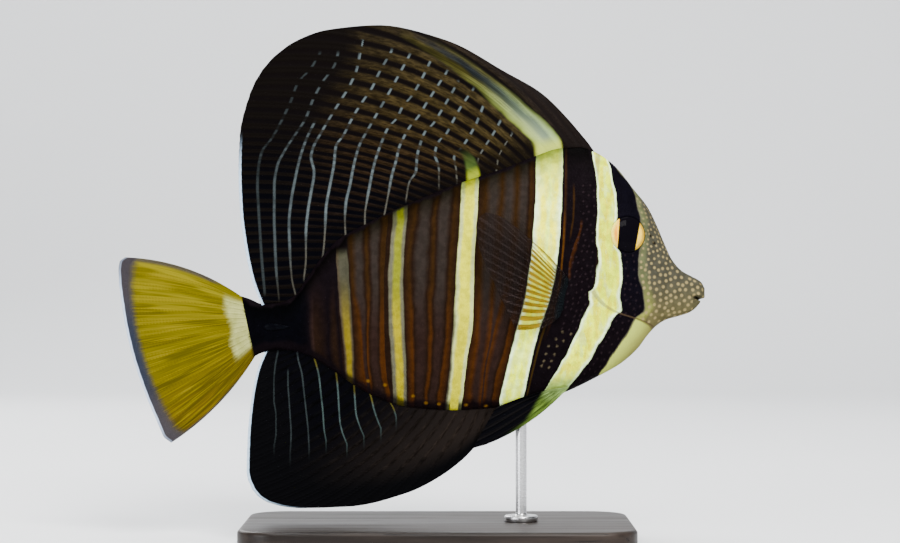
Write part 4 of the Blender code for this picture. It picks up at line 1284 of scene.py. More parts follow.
SCALES, RAY_MARKS = build_scales(), build_ray_marks()
DRAWN_LINE, MOTTLE = build_drawn_line(), build_mottle()
print("shared groups:", [tree.name for tree in (SCALES, RAY_MARKS, DRAWN_LINE, MOTTLE)])

# %% [markdown]
# ## The skin's colours
#
# Each stop is a place in the row of bars with the colour high on the flank and the colour low on
# it. Between two orange lines lies a broad greyish band. The big bars are yellow with pale edges.

# %% Paints of the skin
BLACK, INK, DARK = paint("#06050a"), paint("#020204"), paint("#080507")
BROWN, RUST, AMBER = paint("#150c07"), paint("#201306"), paint("#2f1806")
GREY, PLUM = paint("#1f1a17"), paint("#1c120f")
OLIVE, UMBER, OCHRE = paint("#302f25"), paint("#332c21"), paint("#5f5311")
STONE, MOSS, GOLD = paint("#474637"), paint("#5f6214"), paint("#7f7404")
CREAM, LEMON, CANARY = paint("#989f64"), paint("#b4b308"), paint("#a49f05")
FROST, PALE, YELLOW, LIME = paint("#cfe8ac"), paint("#dcf24a"), paint("#e2df00"), paint("#bccc06")
STRIP, SNOUT, THROAT = paint("#474b32"), paint("#34332a"), paint("#7d7e34")
JAW, SUN, GLOW, DULL = paint("#504a2b"), paint("#d4e200"), paint("#3a2208"), paint("#241907")


print("darkest and lightest paint:", [round(c, 3) for c in (*INK[:3], *FROST[:3])])


# %% Stops of the bars
def orange_line(k, high=RUST, low=AMBER):
    """A soft orange line on line k, between brown and the grey band."""
    core, edge = 0.03, 0.17
    stops = [(k - core, high, low), (k + core, high, low)]
    return [(k - edge, BROWN, BROWN), *stops, (k + edge, BROWN, BROWN)]


def grey_band(k, high=GREY, low=PLUM):
    """The grey middle of the broad band that follows line k."""
    return [(k + 0.36, high, low), (k + 0.64, high, low)]


REAR_BANDS = [
    (0.00, INK, INK), (0.85, INK, INK), (1.30, DARK, DARK), (1.75, DARK, PLUM), (1.95, DARK, BROWN),
    (2.15, DARK, BROWN), (2.70, DARK, DARK), (2.95, DARK, BROWN), (3.15, DARK, BROWN), (3.60, DARK, DARK),
    (3.92, DARK, BROWN), (4.06, UMBER, UMBER), (4.30, OLIVE, OCHRE), (4.70, OLIVE, OCHRE),
    (4.93, OLIVE, UMBER), (5.10, BROWN, BROWN), *orange_line(6)[1:3], *grey_band(6),
    *orange_line(7), *grey_band(7), *orange_line(8)[:3],
]
MIDDLE_BANDS = [
    (8.40, BROWN, BROWN), (8.92, BROWN, BROWN), (9.06, STONE, STONE), (9.20, STONE, STONE),
    (9.38, MOSS, GOLD), (9.72, MOSS, GOLD), (9.86, STONE, STONE), (9.95, STONE, STONE),
    (10.10, BROWN, BROWN), *orange_line(11)[1:], *grey_band(11), *orange_line(12), *grey_band(12),
    *orange_line(13)[:3], (13.92, BROWN, BROWN), (14.06, CREAM, STONE), (14.16, CREAM, CREAM),
    (14.30, LEMON, CANARY), (14.75, LEMON, CANARY), (14.87, CREAM, CREAM), (14.95, CREAM, CREAM),
]
FRONT_BANDS = [
    (15.06, BROWN, BROWN), *orange_line(16)[1:3], *grey_band(16), *orange_line(17)[1:3],
    *grey_band(17), *orange_line(18)[1:3], *grey_band(18), *orange_line(19)[:3], (19.93, BROWN, BROWN),
    (20.02, FROST, FROST), (20.08, FROST, FROST), (20.22, YELLOW, SUN), (20.42, YELLOW, SUN),
    (20.48, PALE, PALE), (20.56, PALE, PALE), (20.62, YELLOW, SUN), (20.82, YELLOW, SUN),
    (20.93, FROST, FROST), (20.98, FROST, FROST), (21.06, DARK, DARK),
]
FACE_BANDS = [
    (21.30, DARK, DARK), (21.42, DARK, DULL), (21.56, DARK, DULL), (21.66, DARK, DARK),
    (21.84, GLOW, DARK), (22.04, GLOW, DARK), (22.28, DARK, DARK), (22.84, DARK, DARK),
    (22.95, RUST, DARK), (23.05, RUST, DARK), (23.16, DARK, DARK), (23.86, DARK, DARK),
    (23.95, AMBER, DARK), (24.04, AMBER, DARK), (24.13, DARK, DARK), (24.90, DARK, DARK),
    (24.97, BROWN, DARK), (25.02, FROST, FROST), (25.05, FROST, FROST), (25.14, LIME, PALE),
    (25.26, LIME, SUN), (25.74, LIME, SUN), (25.85, LIME, PALE), (25.94, FROST, FROST),
    (25.98, FROST, FROST), (26.03, BLACK, DARK), (26.97, BLACK, DARK), (27.02, STONE, STONE),
    (27.08, STRIP, THROAT), (27.22, STRIP, THROAT), (27.45, SNOUT, JAW), (28.0, SNOUT, JAW),
]


print("stops in the bars:", [len(b) for b in (REAR_BANDS, MIDDLE_BANDS, FRONT_BANDS, FACE_BANDS)])


# %% Paint the bars
def painted_bars(r, bar, low):
    """Mixes one ramp for each stretch of bars, each with a high and a low version."""
    colour = None
    for bands in (REAR_BANDS, MIDDLE_BANDS, FRONT_BANDS, FACE_BANDS):
        first, last = bands[0][0], bands[-1][0]
        place = r.between(bar, first, last, kind="LINEAR")
        high, deep = ([((stop[0] - first) / (last - first), stop[k]) for stop in bands] for k in (1, 2))
        both = r.mix(low, r.ramp(place, high), r.ramp(place, deep))
        colour = both if colour is None else r.mix(r.math("GREATER_THAN", bar, first), colour, both)
    return colour


# %% Masks and dots
def dots_over(r, colour, key, share, spot, soft=(1.2, 0.75)):
    """Round dots of one paint, where the distance to the nearest one is below a dot radius."""
    return r.mix(r.times(r.between(r.number(key), *soft), share), colour, spot)


def level(down):
    """The height above the floor, in metres, of a height in the picture."""
    return (LIFT + (ZERO[1] - down) * STEP) * MM


def window(r, value, low, high, soft):
    """1 between two limits and 0 outside, with soft ends."""
    return r.times(r.between(value, low - soft, low + soft), r.between(value, high + soft, high - soft))


# %% Marks on the skin
def lines_come_and_go(r, colour, bar, height):
    """The thin lines beside the breast fin show only on parts of their way down."""
    shows = r.math("MAXIMUM", r.between(bar, 22.5, 22.4), window(r, height, level(237), level(188), 0.002))
    shows = r.math("MAXIMUM", shows, window(r, bar, 23.5, 30.0, 0.1))
    colour = r.mix(shows, DARK, colour)
    shine = r.times(window(r, bar, 21.72, 22.3, 0.04), r.between(height, level(236), level(205)))
    colour = r.mix(r.times(shine, 0.75), colour, DARK)
    colour = r.mix(r.times(window(r, bar, 23.75, 24.25, 0.03), 0.35), colour, DARK)
    too_low, too_high = r.between(height, level(274), level(281)), r.between(height, level(226), level(219))
    beyond = r.times(r.math("MAXIMUM", too_low, too_high), window(r, bar, 23.6, 24.4, 0.05))
    colour = r.mix(beyond, colour, DARK)
    above_bar = r.times(r.between(height, 0.103, 0.107), r.between(bar, 5.3, 4.95))
    return r.mix(above_bar, colour, DARK)


def patches_on_yellow(r, colour, bar, height):
    """Patches of deeper yellow and of mint, drawn out downward, painted shade high on the widest yellow bar
    under the sail, and green where two bars end.
    """
    streaks = r.between(r.noise(620.0, detail=3.0, stretch=(1.0, 1.0, 0.25)), 0.40, 0.62)
    yellow = r.math("MAXIMUM", window(r, bar, 20.12, 20.92, 0.03), window(r, bar, 25.1, 25.9, 0.03))
    deeper = r.mix(r.between(bar, 22.0, 24.0), paint("#c6dc8e"), paint("#b6a800"))
    much = r.between(bar, 22.0, 24.0, 0.35, 0.6)
    colour = r.mix(r.times(streaks, yellow, much), colour, deeper)
    mint = r.between(r.noise(480.0, detail=2.0, stretch=(1.0, 1.0, 0.4)), 0.52, 0.66, 0.0, 0.5)
    colour = r.mix(r.times(mint, yellow), colour, paint("#b4cf78"))
    # painted shade at the top of the widest yellow bar, under the sail
    shade_high_on_yellow = r.times(window(r, bar, 20.0, 21.0, 0.05), r.between(height, level(207), level(163)))
    colour = r.mix(r.times(shade_high_on_yellow, 0.85), colour, paint("#9fab3c"))
    front_bar = r.times(r.between(bar, 24.9, 25.1), r.between(bar, 26.05, 25.95))
    end_of_bar = r.times(r.between(height, level(367), level(386)), front_bar)
    return r.mix(r.times(end_of_bar, 0.85), colour, paint("#6f8a4c"))


def shade_under_sail_and_bar_ends(r, colour, bar, wobble):
    """All bars behind the head get painted shade under the sail, and the dark ones end before the back and
    the belly.
    """
    under_sail = r.math("MULTIPLY_ADD", wobble, 5.0, r.number("from_back"))
    # painted shade under the sail, deepest right at the back and none on the head
    shade = r.ramp(r.between(under_sail, 0.0, EDGE_REACH, kind="LINEAR"), [
        (0.0, paint("#626c50")), (0.25, paint("#989e88")), (0.7, paint("#e8eae2")),
        (1.0, paint("#ffffff"))])
    colour = r.tint(colour, r.mix(r.between(bar, 24.5, 25.0), shade, paint("#ffffff")))
    is_yellow = r.math("MAXIMUM", window(r, bar, 14.0, 15.0, 0.03), r.between(bar, 19.9, 20.0))
    dark_top = r.times(r.between(under_sail, 2.4, 0.6), r.rest(is_yellow))
    colour = r.mix(dark_top, colour, DARK)
    over_belly = r.math("MULTIPLY_ADD", wobble, 4.0, r.number("from_belly"))
    dark_end = r.times(r.between(over_belly, 4.4, 2.0, 0.0, 0.9), r.between(bar, 19.95, 19.85),
                       r.rest(window(r, bar, 14.3, 14.8, 0.05)))
    return r.mix(dark_end, colour, DARK)


def all_dots(r, colour, height):
    """Dots on the snout, the chest and two dark bars, and spots along the belly."""
    fainter = r.between(height, 0.120, 0.104, 0.45, 0.85)
    fainter = r.times(fainter, r.between(r.number("from_back"), 0.5, 1.4))
    colour = dots_over(r, colour, "snout_dots", fainter, paint("#7b6e4a"), (1.4, 0.45))
    colour = dots_over(r, colour, "chest_dots", 0.4, paint("#5f5540"), (1.3, 0.4))
    colour = dots_over(r, colour, "faint_dots", 0.22, paint("#2f2428"), (1.4, 0.4))
    return dots_over(r, colour, "edge_spots", 0.55, paint("#6a4a0c"), (1.3, 0.3))


def head_marks(r, colour, bar):
    """A yellow chin, a rim along the gill cover that is painted shade over the front yellow bar, and
    painted shade in the nostrils, the mouth and the eye sockets.
    """
    gill = r.number("gill")
    chin = r.times(r.between(gill, -0.4, 0.2), r.between(bar, 27.02, 27.08))
    colour = r.mix(chin, colour, r.mix(r.between(bar, 27.1, 27.9), paint("#949e44"), paint("#6c6a38")))
    # over the front yellow bar the rim is painted shade along the gill crease; over the black bar it is a
    # tan line
    rim = r.between(r.math("ABSOLUTE", r.math("ADD", gill, 0.2)), 1.3, 0.5)
    rim = r.times(rim, r.between(bar, 24.98, 25.08, 0.0, 0.65))
    colour = r.mix(rim, colour, r.mix(r.between(bar, 25.9, 26.05), paint("#6d6644"), paint("#3d3022")))
    # painted shade in the nostril pits, the mouth's groove and the eye sockets
    colour = r.mix(r.times(r.number("nostril"), 0.85), colour, paint("#14100b"))
    colour = r.mix(r.number("mouth"), colour, paint("#0d0807"))
    return r.mix(r.number("socket"), colour, BLACK)


# %% Skin material
def skin_finish():
    made, r, shader = new_material("barred_skin", Specular_IOR_Level=0.005)
    height = r.put("SeparateXYZ", {0: r.put("TexCoord").outputs["Object"]}).outputs["Z"]
    wobble = r.math("SUBTRACT", r.noise(230.0, detail=3.0, stretch=(1.0, 1.0, 0.55)), 0.5)
    bar = r.math("MULTIPLY_ADD", wobble, 0.28, r.number("bar"))
    mottle = r.group(MOTTLE, density=420.0)["Shade"]
    scales = r.group(SCALES, density=1250.0)
    colour = painted_bars(r, bar, r.between(height, level(271), level(343)))
    colour = lines_come_and_go(r, colour, bar, height)
    colour = patches_on_yellow(r, colour, bar, height)
    colour = shade_under_sail_and_bar_ends(r, colour, bar, wobble)
    colour = r.tint(colour, r.between(mottle, 0.0, 1.0, 0.84, 1.12))
    colour = all_dots(r, colour, height)
    colour = head_marks(r, colour, bar)
    relief = r.math("MULTIPLY_ADD", mottle, 0.5, scales["Height"])
    roughness = r.between(scales["Shade"], 0.0, 1.0, 0.42, 0.58)
    cover(r, shader, colour, roughness, relief, 0.35, 0.00012)
    return made


skin.data.materials.append(skin_finish())
print("nodes in the skin's finish:", len(skin.active_material.node_tree.nodes))

# %% [markdown]
# ## The sail and the anal fin
#
# The web is almost black, the rays are brown, and pale lines cross both. Behind, the lines run on
# over rays and web alike. In front, each line is only a short dash in each web. The yellow of the
# widest bar climbs along the front rays and fades on its way up.

# %% Rays and streaks
def rays_of(r, joint_length, half_width):
    """The shared ray marks, fed with the fin's own numbers."""
    return r.group(RAY_MARKS, number=r.number("number"), ridge=r.number("ridge"), along=r.number("along"),
                   joint_length=joint_length, half_width=half_width)


def sail_colours(r, web, ray, rays):
    """The sail's streaks, its dark front and its brown rays, which fade out towards the tail."""
    number, share, along, line = (r.number(key) for key in ("number", "share", "along", "line"))
    ray = r.mix(r.between(line, 5.6, 1.4, kind="LINEAR"), ray, paint("#080605"))
    ray = r.mix(r.between(along, 12.0, 1.5, 0.0, 0.85), ray, paint("#070504"))
    colour = r.mix(r.times(rays["Mask"], 0.95), web, ray)
    lead = r.between(number, 4.6, 3.2, 0.0, 0.7)
    colour = r.mix(lead, colour, paint("#110d0c"))
    ripple = r.waver(r.number("streak"), r.noise(160.0), 0.22)
    place = r.between(ripple, 0.0, 8.0, kind="LINEAR")
    root = r.ramp(place, [
        (0.0, BLACK), (0.13, BLACK), (0.17, paint("#34441a")), (0.24, paint("#2c3a18")), (0.28, BLACK),
        (0.62, BLACK), (0.635, paint("#727f3a")), (0.66, paint("#8a9a5c")), (0.685, paint("#66745a")),
        (0.705, paint("#5d6b58")), (0.725, paint("#7c9060")), (0.745, paint("#66763f")), (0.765, BLACK)])
    tip = r.ramp(place, [
        (0.0, BLACK), (0.62, BLACK), (0.64, paint("#2c2a10")), (0.67, paint("#333013")),
        (0.69, paint("#181b1c")), (0.71, paint("#181b1c")), (0.735, paint("#302f17")), (0.765, BLACK)])
    streak = r.mix(r.math("POWER", r.between(share, 0.0, 0.5), 0.65), root, tip)
    yellow = r.mix(r.between(place, 0.40, 0.50), paint("#737d16"), paint("#949e3a"))
    streak = r.mix(r.between(along, 5.5, 0.5, 0.0, 0.85), streak, yellow)
    ribbed = r.times(r.between(rays["Mask"], 0.0, 1.0, 0.5, 1.1),
                     r.between(r.ray_streaks(14.0, 0.12), 0.35, 0.65, 0.55, 1.15))
    streak = r.mix(r.between(share, 0.05, 0.35, 0.0, 0.9), streak, r.tint(streak, ribbed))
    sprout = r.times(window(r, place, 0.165, 0.25, 0.015), r.between(along, 15.0, 5.0))
    covers = r.math("MAXIMUM", sprout, window(r, place, 0.61, 0.775, 0.01))
    return r.mix(r.times(r.number("streak_shows"), covers), colour, streak)


# %% Finish of the two big fins
def cross_lines(r, near_body, is_sail):
    """The paint of the pale lines across the fin, fainter towards the tail."""
    line = r.number("line")
    if is_sail:
        chalk = r.mix(near_body, paint("#3f4749"), paint("#35342e"))
    else:
        chalk = r.mix(r.between(r.number("along"), 3.2, 1.0), paint("#2e3a39"), paint("#3c3812"))
        chalk = r.mix(r.between(line, 2.4, 2.6), paint("#23292a"), chalk)
    faint = 0.25 if is_sail else 0.6
    return r.tint(chalk, r.between(line, 0.0, 3.4, faint, 1.0, kind="LINEAR"))


def big_fin_finish(name, rays_paint, webs, rays_wide, broken_at, is_sail):
    """Webs are the paints of the web in front and behind, and rays wide the rays' share there."""
    made, r, shader = new_material(name, Specular_IOR_Level=0.005)
    number = r.number("number")
    mottle = r.group(MOTTLE, density=160.0)["Shade"]
    rearward = r.between(number, *((9.0, 24.0) if is_sail else (3.0, 15.0)))
    rays = rays_of(r, 1.4, r.between(rearward, 0.0, 1.0, *rays_wide))
    web = r.mix(rearward, *webs)
    ray = r.ramp(r.between(number, 0.0, 36.0, kind="LINEAR"), rays_paint)
    ray = r.tint(ray, r.between(r.ray_streaks(7.0, 0.35), 0.3, 0.7, 0.4, 1.1))
    ray = r.tint(ray, r.between(mottle, 0.0, 1.0, 0.75, 1.15))
    if is_sail:
        colour = sail_colours(r, web, ray, rays)
    else:
        outward = r.between(r.number("share"), 0.3, 0.8)
        colour = r.mix(outward, r.mix(rays["Mask"], web, ray), paint("#040405"))
    web_only = r.between(r.off_whole(number), 0.20, 0.32)
    solid = r.between(number, broken_at - 6.0, broken_at + 5.0)
    near_body = r.between(r.number("along"), 16.0, 5.0)
    wide = (1.3, 0.85) if is_sail else (0.7, 0.8)
    drawn = r.group(DRAWN_LINE, number=r.number("line"), gap=r.number("line_gap"),
                    shows=r.number("shows"), half_width=r.between(near_body, 0.0, 1.0, *wide))["Mask"]
    drawn = r.times(drawn, r.math("MAXIMUM", web_only, solid), r.between(mottle, 0.0, 0.6, 0.6, 1.0))
    if is_sail:
        drawn = r.times(drawn, r.rest(r.number("streak_shows")))
    colour = r.mix(drawn, colour, cross_lines(r, near_body, is_sail))
    rim = r.times(r.between(r.number("margin"), 1.1, 0.8), r.between(rearward, 0.3, 0.9))
    colour = r.mix(rim, colour, paint("#9fb6cc"))
    cover(r, shader, colour, r.between(mottle, 0.0, 1.0, 0.4, 0.55), rays["Height"])
    return made


# %% Yellow streaks on the sail
STREAK_LINES = (
    ((420, 137), (440, 146), (452, 160), (454, 175)),
    ((436, 137), (448, 146), (458, 158), (461, 175)),
    ((450, 137), (463, 146), (476, 160), (480, 175)),
    ((466, 137), (478, 146), (490, 160), (494, 175)),
    ((380, 37), (420, 65), (460, 97), (500, 135), (520, 160)),
    ((398, 37), (414, 46), (437, 60), (460, 77), (478, 91), (500, 113), (518, 129), (535, 149), (536, 165)),
    ((434, 37), (466, 57), (489, 74), (512, 91), (529, 107), (550, 126), (561, 143), (563, 165)),
    ((450, 37), (480, 55), (500, 70), (525, 91), (545, 107), (566, 126), (574, 143), (576, 165)),
)


def streak_shares(sheet, streak):
    """1 in the low and the high group of the sail's yellow streaks, and 0 elsewhere."""
    down = to_view(sheet["x"], sheet["z"])[1]
    low = ease(streak, 0.6, 1.1) * ease(streak, 2.4, 1.9) * ease(down, 138, 152)
    high = ease(streak, 4.9, 5.12) * ease(streak, 6.12, 5.9) * ease(sheet["share"], 1.0, 0.5)
    return np.maximum(low, high)


streak = along_lines(sail_sheet["x"], sail_sheet["z"], STREAK_LINES)
streak_shows = streak_shares(sail_sheet, streak)
store(sail, on_both_faces({"streak": streak, "streak_shows": streak_shows}))
print("share of the sail with streaks:", round(float((streak_shows > 0.5).mean()), 3))

# %% Paint the sail and the anal fin
SAIL_RAYS = [
    (0.0, paint("#17120e")), (0.11, paint("#1b1611")), (0.16, paint("#2c2515")), (0.26, paint("#2c2412")),
    (0.40, paint("#20170c")), (0.60, paint("#150e09")), (0.80, paint("#0b0808")), (1.0, paint("#09070a")),
]
ANAL_RAYS = [
    (0.0, paint("#1a1512")), (0.1, paint("#1a1512")), (0.42, paint("#040405")), (1.0, paint("#030304")),
]
sail.data.materials.append(big_fin_finish(
    "sail_skin", SAIL_RAYS, (paint("#070505"), paint("#020204")), (0.29, 0.22), 17.0, True))
anal.data.materials.append(big_fin_finish(
    "anal_fin_skin", ANAL_RAYS, (paint("#161210"), paint("#030305")), (0.2, 0.2), -9.0, False))
print("finishes:", sail.active_material.name, anal.active_material.name)

# %% [markdown]
# ## Tail, breast and belly fins
#
# The tail fin is yellow with a cream root. Its hind margin is glassy and dark grey, with a thin
# pale rim. The web of a breast fin is so clear that the bars behind it show between its rays. Alpha
# gives that, because a thin web neither bends light nor tints it much. The belly fins are black
# with a green leading edge.

# %% Finish of the tail fin
def tail_yellows(r, number, rays, fine, fold_shade):
    """Yellow that deepens downward, with painted shade of folds and fine light and dark streaks."""
    colour = r.ramp(r.between(number, 0.0, 15.0, kind="LINEAR"), [
        (0.0, paint("#6a620b")), (0.3, paint("#585007")), (0.6, paint("#4c4506")),
        (0.95, paint("#433507"))])
    # painted shade of folds, as broad dark streaks across the rays
    colour = r.mix(r.between(fold_shade, 0.54, 0.42, 0.0, 0.6), colour, paint("#2f2b03"))
    colour = r.mix(r.between(fine, 0.48, 0.68, 0.0, 0.6), colour, paint("#6c600a"))
    colour = r.mix(r.between(fine, 0.5, 0.36, 0.0, 0.35), colour, paint("#383204"))
    return r.mix(r.times(rays["Mask"], 0.2), colour, paint("#5f540a"))


def tail_finish():
    made, r, shader = new_material("yellow_tail", Specular_IOR_Level=0.005)
    number, margin, along = (r.number(key) for key in ("number", "margin", "along"))
    rays = rays_of(r, 1.2, 0.16)
    mottle = r.group(MOTTLE, density=220.0)["Shade"]
    fine = r.ray_streaks(8.0, 0.05)
    colour = tail_yellows(r, number, rays, fine, r.ray_streaks(1.1, 0.03, 1.0))
    edge = r.math("DIVIDE", r.math("ABSOLUTE", r.math("SUBTRACT", number, 7.5)), 7.5)
    # the cream root, longest on the middle rays
    middle_fold = r.between(r.math("ABSOLUTE", r.math("SUBTRACT", number, 6.5)), 3.0, 0.5, 0.0, 1.2)
    reach = r.math("ADD", r.waver(along, r.ray_streaks(3.0, 0.5), 3.2), middle_fold)
    pale = r.times(r.between(reach, 9.0, 6.0), r.between(edge, 0.90, 0.74), r.between(number, 13.0, 11.6))
    colour = r.mix(pale, colour, r.mix(mottle, paint("#7b7d44"), paint("#90925a")))
    colour = r.mix(r.between(reach, 1.2, -0.4, 0.0, 0.9), colour, INK)
    # the glassy margin, widest at the corners, and its pale rim
    wide = r.math("MULTIPLY_ADD", r.math("POWER", edge, 3.0), 2.4, 3.9)
    glass = r.between(r.math("DIVIDE", r.waver(margin, fine, 2.4), wide), 1.4, 0.6)
    side = r.math("MAXIMUM", r.between(number, 0.55, 0.2), r.between(number, 14.7, 14.9))
    glass = r.math("MAXIMUM", glass, r.times(side, r.between(along, 8.0, 14.0, 0.0, 0.8)))
    colour = r.mix(glass, colour, r.mix(r.between(edge, 0.7, 0.2), paint("#282428"), paint("#181d2a")))
    white = r.times(r.between(margin, 1.0, 0.65), r.between(edge, 0.98, 0.6, 0.25, 1.0))
    colour = r.mix(white, colour, paint("#a5b4cc"))
    r.feed(shader["Alpha"], r.between(r.math("SUBTRACT", glass, white), 0.0, 1.0, 1.0, 0.88))
    relief = r.math("MULTIPLY_ADD", fine, 1.2, rays["Height"])
    cover(r, shader, colour, r.between(mottle, 0.0, 1.0, 0.38, 0.5), relief)
    return made


tail.data.materials.append(tail_finish())
print("nodes in the tail's finish:", len(tail.active_material.node_tree.nodes))


# %% Finish of the breast fins
def breast_finish():
    made, r, shader = new_material("clear_breast_fin", Specular_IOR_Level=0.005)
    along, number, bar = r.number("along"), r.number("number"), r.number("bar")
    rays = rays_of(r, 1.1, 0.13)
    over_yellow = window(r, bar, 20.02, 20.98, 0.03)
    veil = r.mix(rays["Mask"], paint("#130e0d"), paint("#201a19"))
    fold = r.between(r.ray_streaks(6.0, 0.1), 0.35, 0.65)
    gold = r.mix(fold, paint("#54430a"), paint("#75600c"))
    fleshy = r.between(along, 5.0, 2.0)
    colour = r.mix(fleshy, r.mix(over_yellow, veil, gold), paint("#090c0e"))
    golden = r.times(r.between(r.off_whole(number), 0.14, 0.30, 0.05, 0.85),
                     r.between(number, 1.0, 2.5, 0.3, 1.0))
    plain = r.between(rays["Mask"], 0.0, 1.0, 0.36, 0.45)
    cloudy = r.math("MULTIPLY_ADD", over_yellow, r.math("SUBTRACT", golden, plain), plain)
    lead = r.between(number, 0.9, 0.2, 0.0, 0.7)
    cloudy = r.math("MAXIMUM", r.math("MAXIMUM", fleshy, lead), cloudy)
    r.feed(shader["Alpha"], r.times(cloudy, r.between(along, -0.9, 1.0)))
    roughness = r.between(r.group(MOTTLE, density=300.0)["Shade"], 0.0, 1.0, 0.3, 0.45)
    cover(r, shader, colour, roughness, rays["Height"], 0.4)
    return made


breast_skin = breast_finish()
for side in SIDES:
    breast_fins[side].data.materials.append(breast_skin)
print("finish:", breast_skin.name)


# %% Finish of the belly fins
def belly_finish():
    made, r, shader = new_material("belly_fin_skin", Specular_IOR_Level=0.005)
    number, share = r.number("number"), r.number("share")
    rays = rays_of(r, 1.2, 0.2)
    mottle = r.group(MOTTLE, density=240.0)["Shade"]
    fine = r.ray_streaks(7.0, 0.15)
    colour = r.mix(rays["Mask"], paint("#040406"), paint("#0a090a"))
    # the green reaches over fewer rays towards the tip, quickly at first and then slowly
    quickly, slowly = (r.math("MULTIPLY_ADD", share, *line) for line in ((-9.0, 4.6), (-2.1, 1.5)))
    off = r.math("SUBTRACT", r.waver(number, fine, 1.6), r.math("MAXIMUM", quickly, slowly))
    green = r.times(r.between(off, 0.6, -0.5), r.between(share, 0.85, 0.45))
    leaf = r.mix(r.between(fine, 0.35, 0.65), paint("#21310f"), paint("#4d6224"))
    leaf = r.mix(r.between(share, 0.2, 0.04), leaf, r.mix(mottle, paint("#566a36"), paint("#6c8448")))
    colour = r.mix(green, colour, leaf)
    cover(r, shader, colour, r.between(mottle, 0.0, 1.0, 0.4, 0.55), rays["Height"])
    return made


belly_skin = belly_finish()
for side in SIDES:
    belly_fins[side].data.materials.append(belly_skin)
print("finish:", belly_skin.name)

# %% [markdown]
# ## Eyes, blades, wood and steel
#
# The black bar of the face runs on through the eye, so the gold iris shows only as two crescents.
# A clear coat over the colour gives the wet shine. The base is beech stained black, whose grain is
# noise drawn out along the board, and the rod is steel brushed round its length.

# %% Finishes of the hard pieces
def eye_finish():
    made, r, shader = new_material(
        "wet_eye", Coat_Weight=0.012, Coat_Roughness=0.06, Specular_IOR_Level=0.0)
    across, up, rim = r.number("across"), r.number("up"), r.number("rim")
    grain = r.noise(700.0, detail=3.0)
    front_edge = r.between(r.math("SUBTRACT", across, r.math("MULTIPLY_ADD", up, 0.19, 0.56)), -0.03, 0.03)
    rear_edge = r.between(r.math("SUBTRACT", across, r.math("MULTIPLY_ADD", up, 0.08, -0.55)), 0.03, -0.03)
    rear_iris = r.mix(r.between(rim, 0.78, 0.95), paint("#d98a10"), paint("#e0cc48"))
    rear_iris = r.mix(r.between(across, -0.66, -0.58), rear_iris, paint("#e6b434"))
    front_iris = r.mix(r.between(rim, 0.72, 0.86), paint("#dcb430"), paint("#a8841c"))
    # painted shadow of the orbit: a thin dark ring along the front crescent's edge
    front_iris = r.mix(r.between(rim, 0.92, 0.97), front_iris, paint("#2c2a12"))
    iris = r.mix(r.math("GREATER_THAN", across, 0.0), rear_iris, front_iris)
    iris = r.tint(iris, r.between(grain, 0.3, 0.7, 0.85, 1.08))
    colour = r.mix(r.math("MAXIMUM", front_edge, rear_edge), paint("#060508"), iris)
    cover(r, shader, colour, r.between(grain, 0.3, 0.7, 0.2, 0.3))
    return made


def horn_finish():
    made, r, shader = new_material("blue_black_horn", Specular_IOR_Level=0.01)
    mottle = r.group(MOTTLE, density=500.0)["Shade"]
    colour = r.mix(mottle, paint("#020204"), paint("#040508"))
    cover(r, shader, colour, r.between(mottle, 0.0, 1.0, 0.28, 0.42))
    return made


def wood_finish():
    made, r, shader = new_material("black_stained_wood", Specular_IOR_Level=0.12)
    grain = r.noise(140.0, detail=6.0, stretch=(0.06, 1.0, 1.0), roughness=0.6)
    pores = r.between(r.noise(900.0, detail=2.0, stretch=(0.05, 1.0, 1.0)), 0.62, 0.72)
    colour = r.mix(r.between(grain, 0.35, 0.65), paint("#171311"), paint("#2a231f"))
    colour = r.mix(pores, colour, paint("#0f0c0b"))
    relief = r.math("SUBTRACT", r.times(grain, 0.4), pores)
    cover(r, shader, colour, r.between(grain, 0.3, 0.7, 0.36, 0.5), relief, 0.3)
    return made


def steel_finish():
    made, r, shader = new_material("brushed_steel", Metallic=1.0)
    rings = r.noise(500.0, detail=4.0, stretch=(0.3, 0.3, 9.0), roughness=0.7)
    colour = r.mix(rings, paint("#b2b2b4"), paint("#cfcfd0"))
    cover(r, shader, colour, r.between(rings, 0.3, 0.7, 0.22, 0.38), rings, 0.08, 0.0001)
    return made


wet_eye, horn = eye_finish(), horn_finish()
for side in SIDES:
    eyes[side].data.materials.append(wet_eye)
    blades[side].data.materials.append(horn)
board.data.materials.append(wood_finish())
rod.data.materials.append(steel_finish())
print("materials:", [made.name for made in bpy.data.materials])

# %% [markdown]
# ## Tie the pieces to the solids
#
# Each piece says which solid it stands for, so that the plain one is hidden. The model has no moving parts,
# so all of it rides on one body.

# %% Stand-ins and the body
PIECES = (
    (skin, "skin", ("head", "lower_jaw", "torso", "tail_stalk")),
    (sail, "dark_fin", ("dorsal_fin",)),
    (anal, "dark_fin", ("anal_fin",)),
    (tail, "yellow_fin", ("tail_fin",)),
    (board, "stand_wood", ("stand_base",)),
    (rod, "stand_steel", ("stand_rod",)),
    *[(breast_fins[side], "clear_fin", ("pectoral_fin_" + side,)) for side in SIDES],
    *[(belly_fins[side], "dark_fin", ("pelvic_fin_" + side,)) for side in SIDES],
    *[(eyes[side], "eye", ("eye_" + side,)) for side in SIDES],
    *[(blades[side], "spine", ("tail_spine_" + side,)) for side in SIDES],
)
for piece, slot, nodes in PIECES:
    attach(piece, "root")
    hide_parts(*nodes)
print("pieces:", len(PIECES))

# %% [markdown]
# ## Studio and camera
#
# The photo looks level at the fish's right side. A long lens at 0.9 m keeps the side view almost
# free of perspective. The floor rises into a backdrop in one sweep, and large soft lights from
# above, from the front and from behind show the relief of the skin and the clear fins.

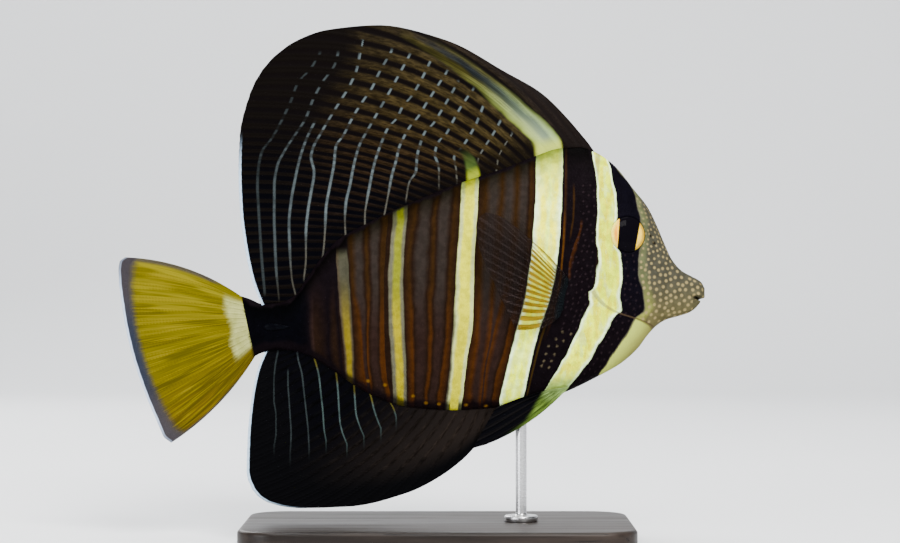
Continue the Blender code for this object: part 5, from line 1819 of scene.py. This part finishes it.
# %% Studio
def build_stage():
    """Floor and backdrop as one sheet: a profile of floor, quarter circle and wall, drawn out in x."""
    turn = np.linspace(0.0, np.pi / 2, 24)
    bend, back_at, wide = 0.5, 1.6, 4.0
    y = np.concatenate([[-3.0, 0.0], back_at - bend + bend * np.sin(turn), [back_at]])
    z = np.concatenate([[0.0, 0.0], bend - bend * np.cos(turn), [3.2]])
    x = np.linspace(-wide, wide, 3)
    points = np.stack(np.broadcast_arrays(x[:, None], y[None, :], z[None, :]), axis=-1).reshape(-1, 3)
    index = np.arange(len(points)).reshape(len(x), len(y))
    return make_piece("studio_floor", points / MM - (0.0, 0.0, LIFT), grid_faces(index))


def floor_finish():
    made, r, shader = new_material("pale_floor", Specular_IOR_Level=0.3)
    haze = r.noise(3.0, detail=2.0)
    colour = r.mix(haze, paint("#c9cbce"), paint("#d2d4d6"))
    cover(r, shader, colour, r.between(haze, 0.0, 1.0, 0.6, 0.7))
    return made


def soft_light(name, place, target, size, power, colour=(1.0, 1.0, 1.0)):
    """A square area light at a place, turned to its target. Distances are in metres."""
    light = bpy.data.lights.new(name, "AREA")
    light.size, light.energy, light.color = size, power, colour
    lamp = bpy.data.objects.new(name, light)
    lamp.location = place
    lamp.rotation_euler = (Vector(target) - Vector(place)).to_track_quat("-Z", "Y").to_euler()
    bpy.context.scene.collection.objects.link(lamp)


floor = build_stage()
floor.data.materials.append(floor_finish())
CENTRE = (0.0, 0.0, 0.1)
soft_light("key", (0.5, -1.3, 1.25), CENTRE, 0.7, 88.0, (1.0, 0.98, 0.95))
soft_light("fill", (-1.3, -1.2, 0.4), CENTRE, 0.9, 36.0, (0.95, 0.97, 1.0))
soft_light("top", (0.0, 0.1, 1.3), CENTRE, 0.9, 22.0)
soft_light("rim", (-0.5, 0.9, 0.7), CENTRE, 0.5, 12.0)
soft_light("backdrop", (0.0, 0.3, 2.2), (0.0, 1.6, 0.5), 1.5, 40.0)
world_light = bpy.data.worlds.new("soft_room")
world_light.use_nodes = True
sky = world_light.node_tree.nodes["Background"].inputs
sky["Color"].default_value = paint("#e6ebf0")
sky["Strength"].default_value = 0.15
bpy.context.scene.world = world_light
print("lights:", len(bpy.data.lights))

# %% Camera
PICTURE = (900, 543)
DISTANCE = 0.9
SENSOR = 36.0
picture_middle = from_view((PICTURE[0] / 2, PICTURE[1] / 2))
lens = bpy.data.cameras.new("camera")
lens.sensor_width = SENSOR
lens.lens = SENSOR * DISTANCE / (PICTURE[0] * STEP * MM)
camera = bpy.data.objects.new("camera", lens)
camera.location = (picture_middle[0] * MM, -DISTANCE, (picture_middle[1] + LIFT) * MM)
camera.rotation_euler = (math.pi / 2, 0.0, 0.0)
bpy.context.scene.collection.objects.link(camera)
bpy.context.scene.camera = camera
print("camera at", [round(c, 4) for c in camera.location], "lens", round(lens.lens, 1), "mm")
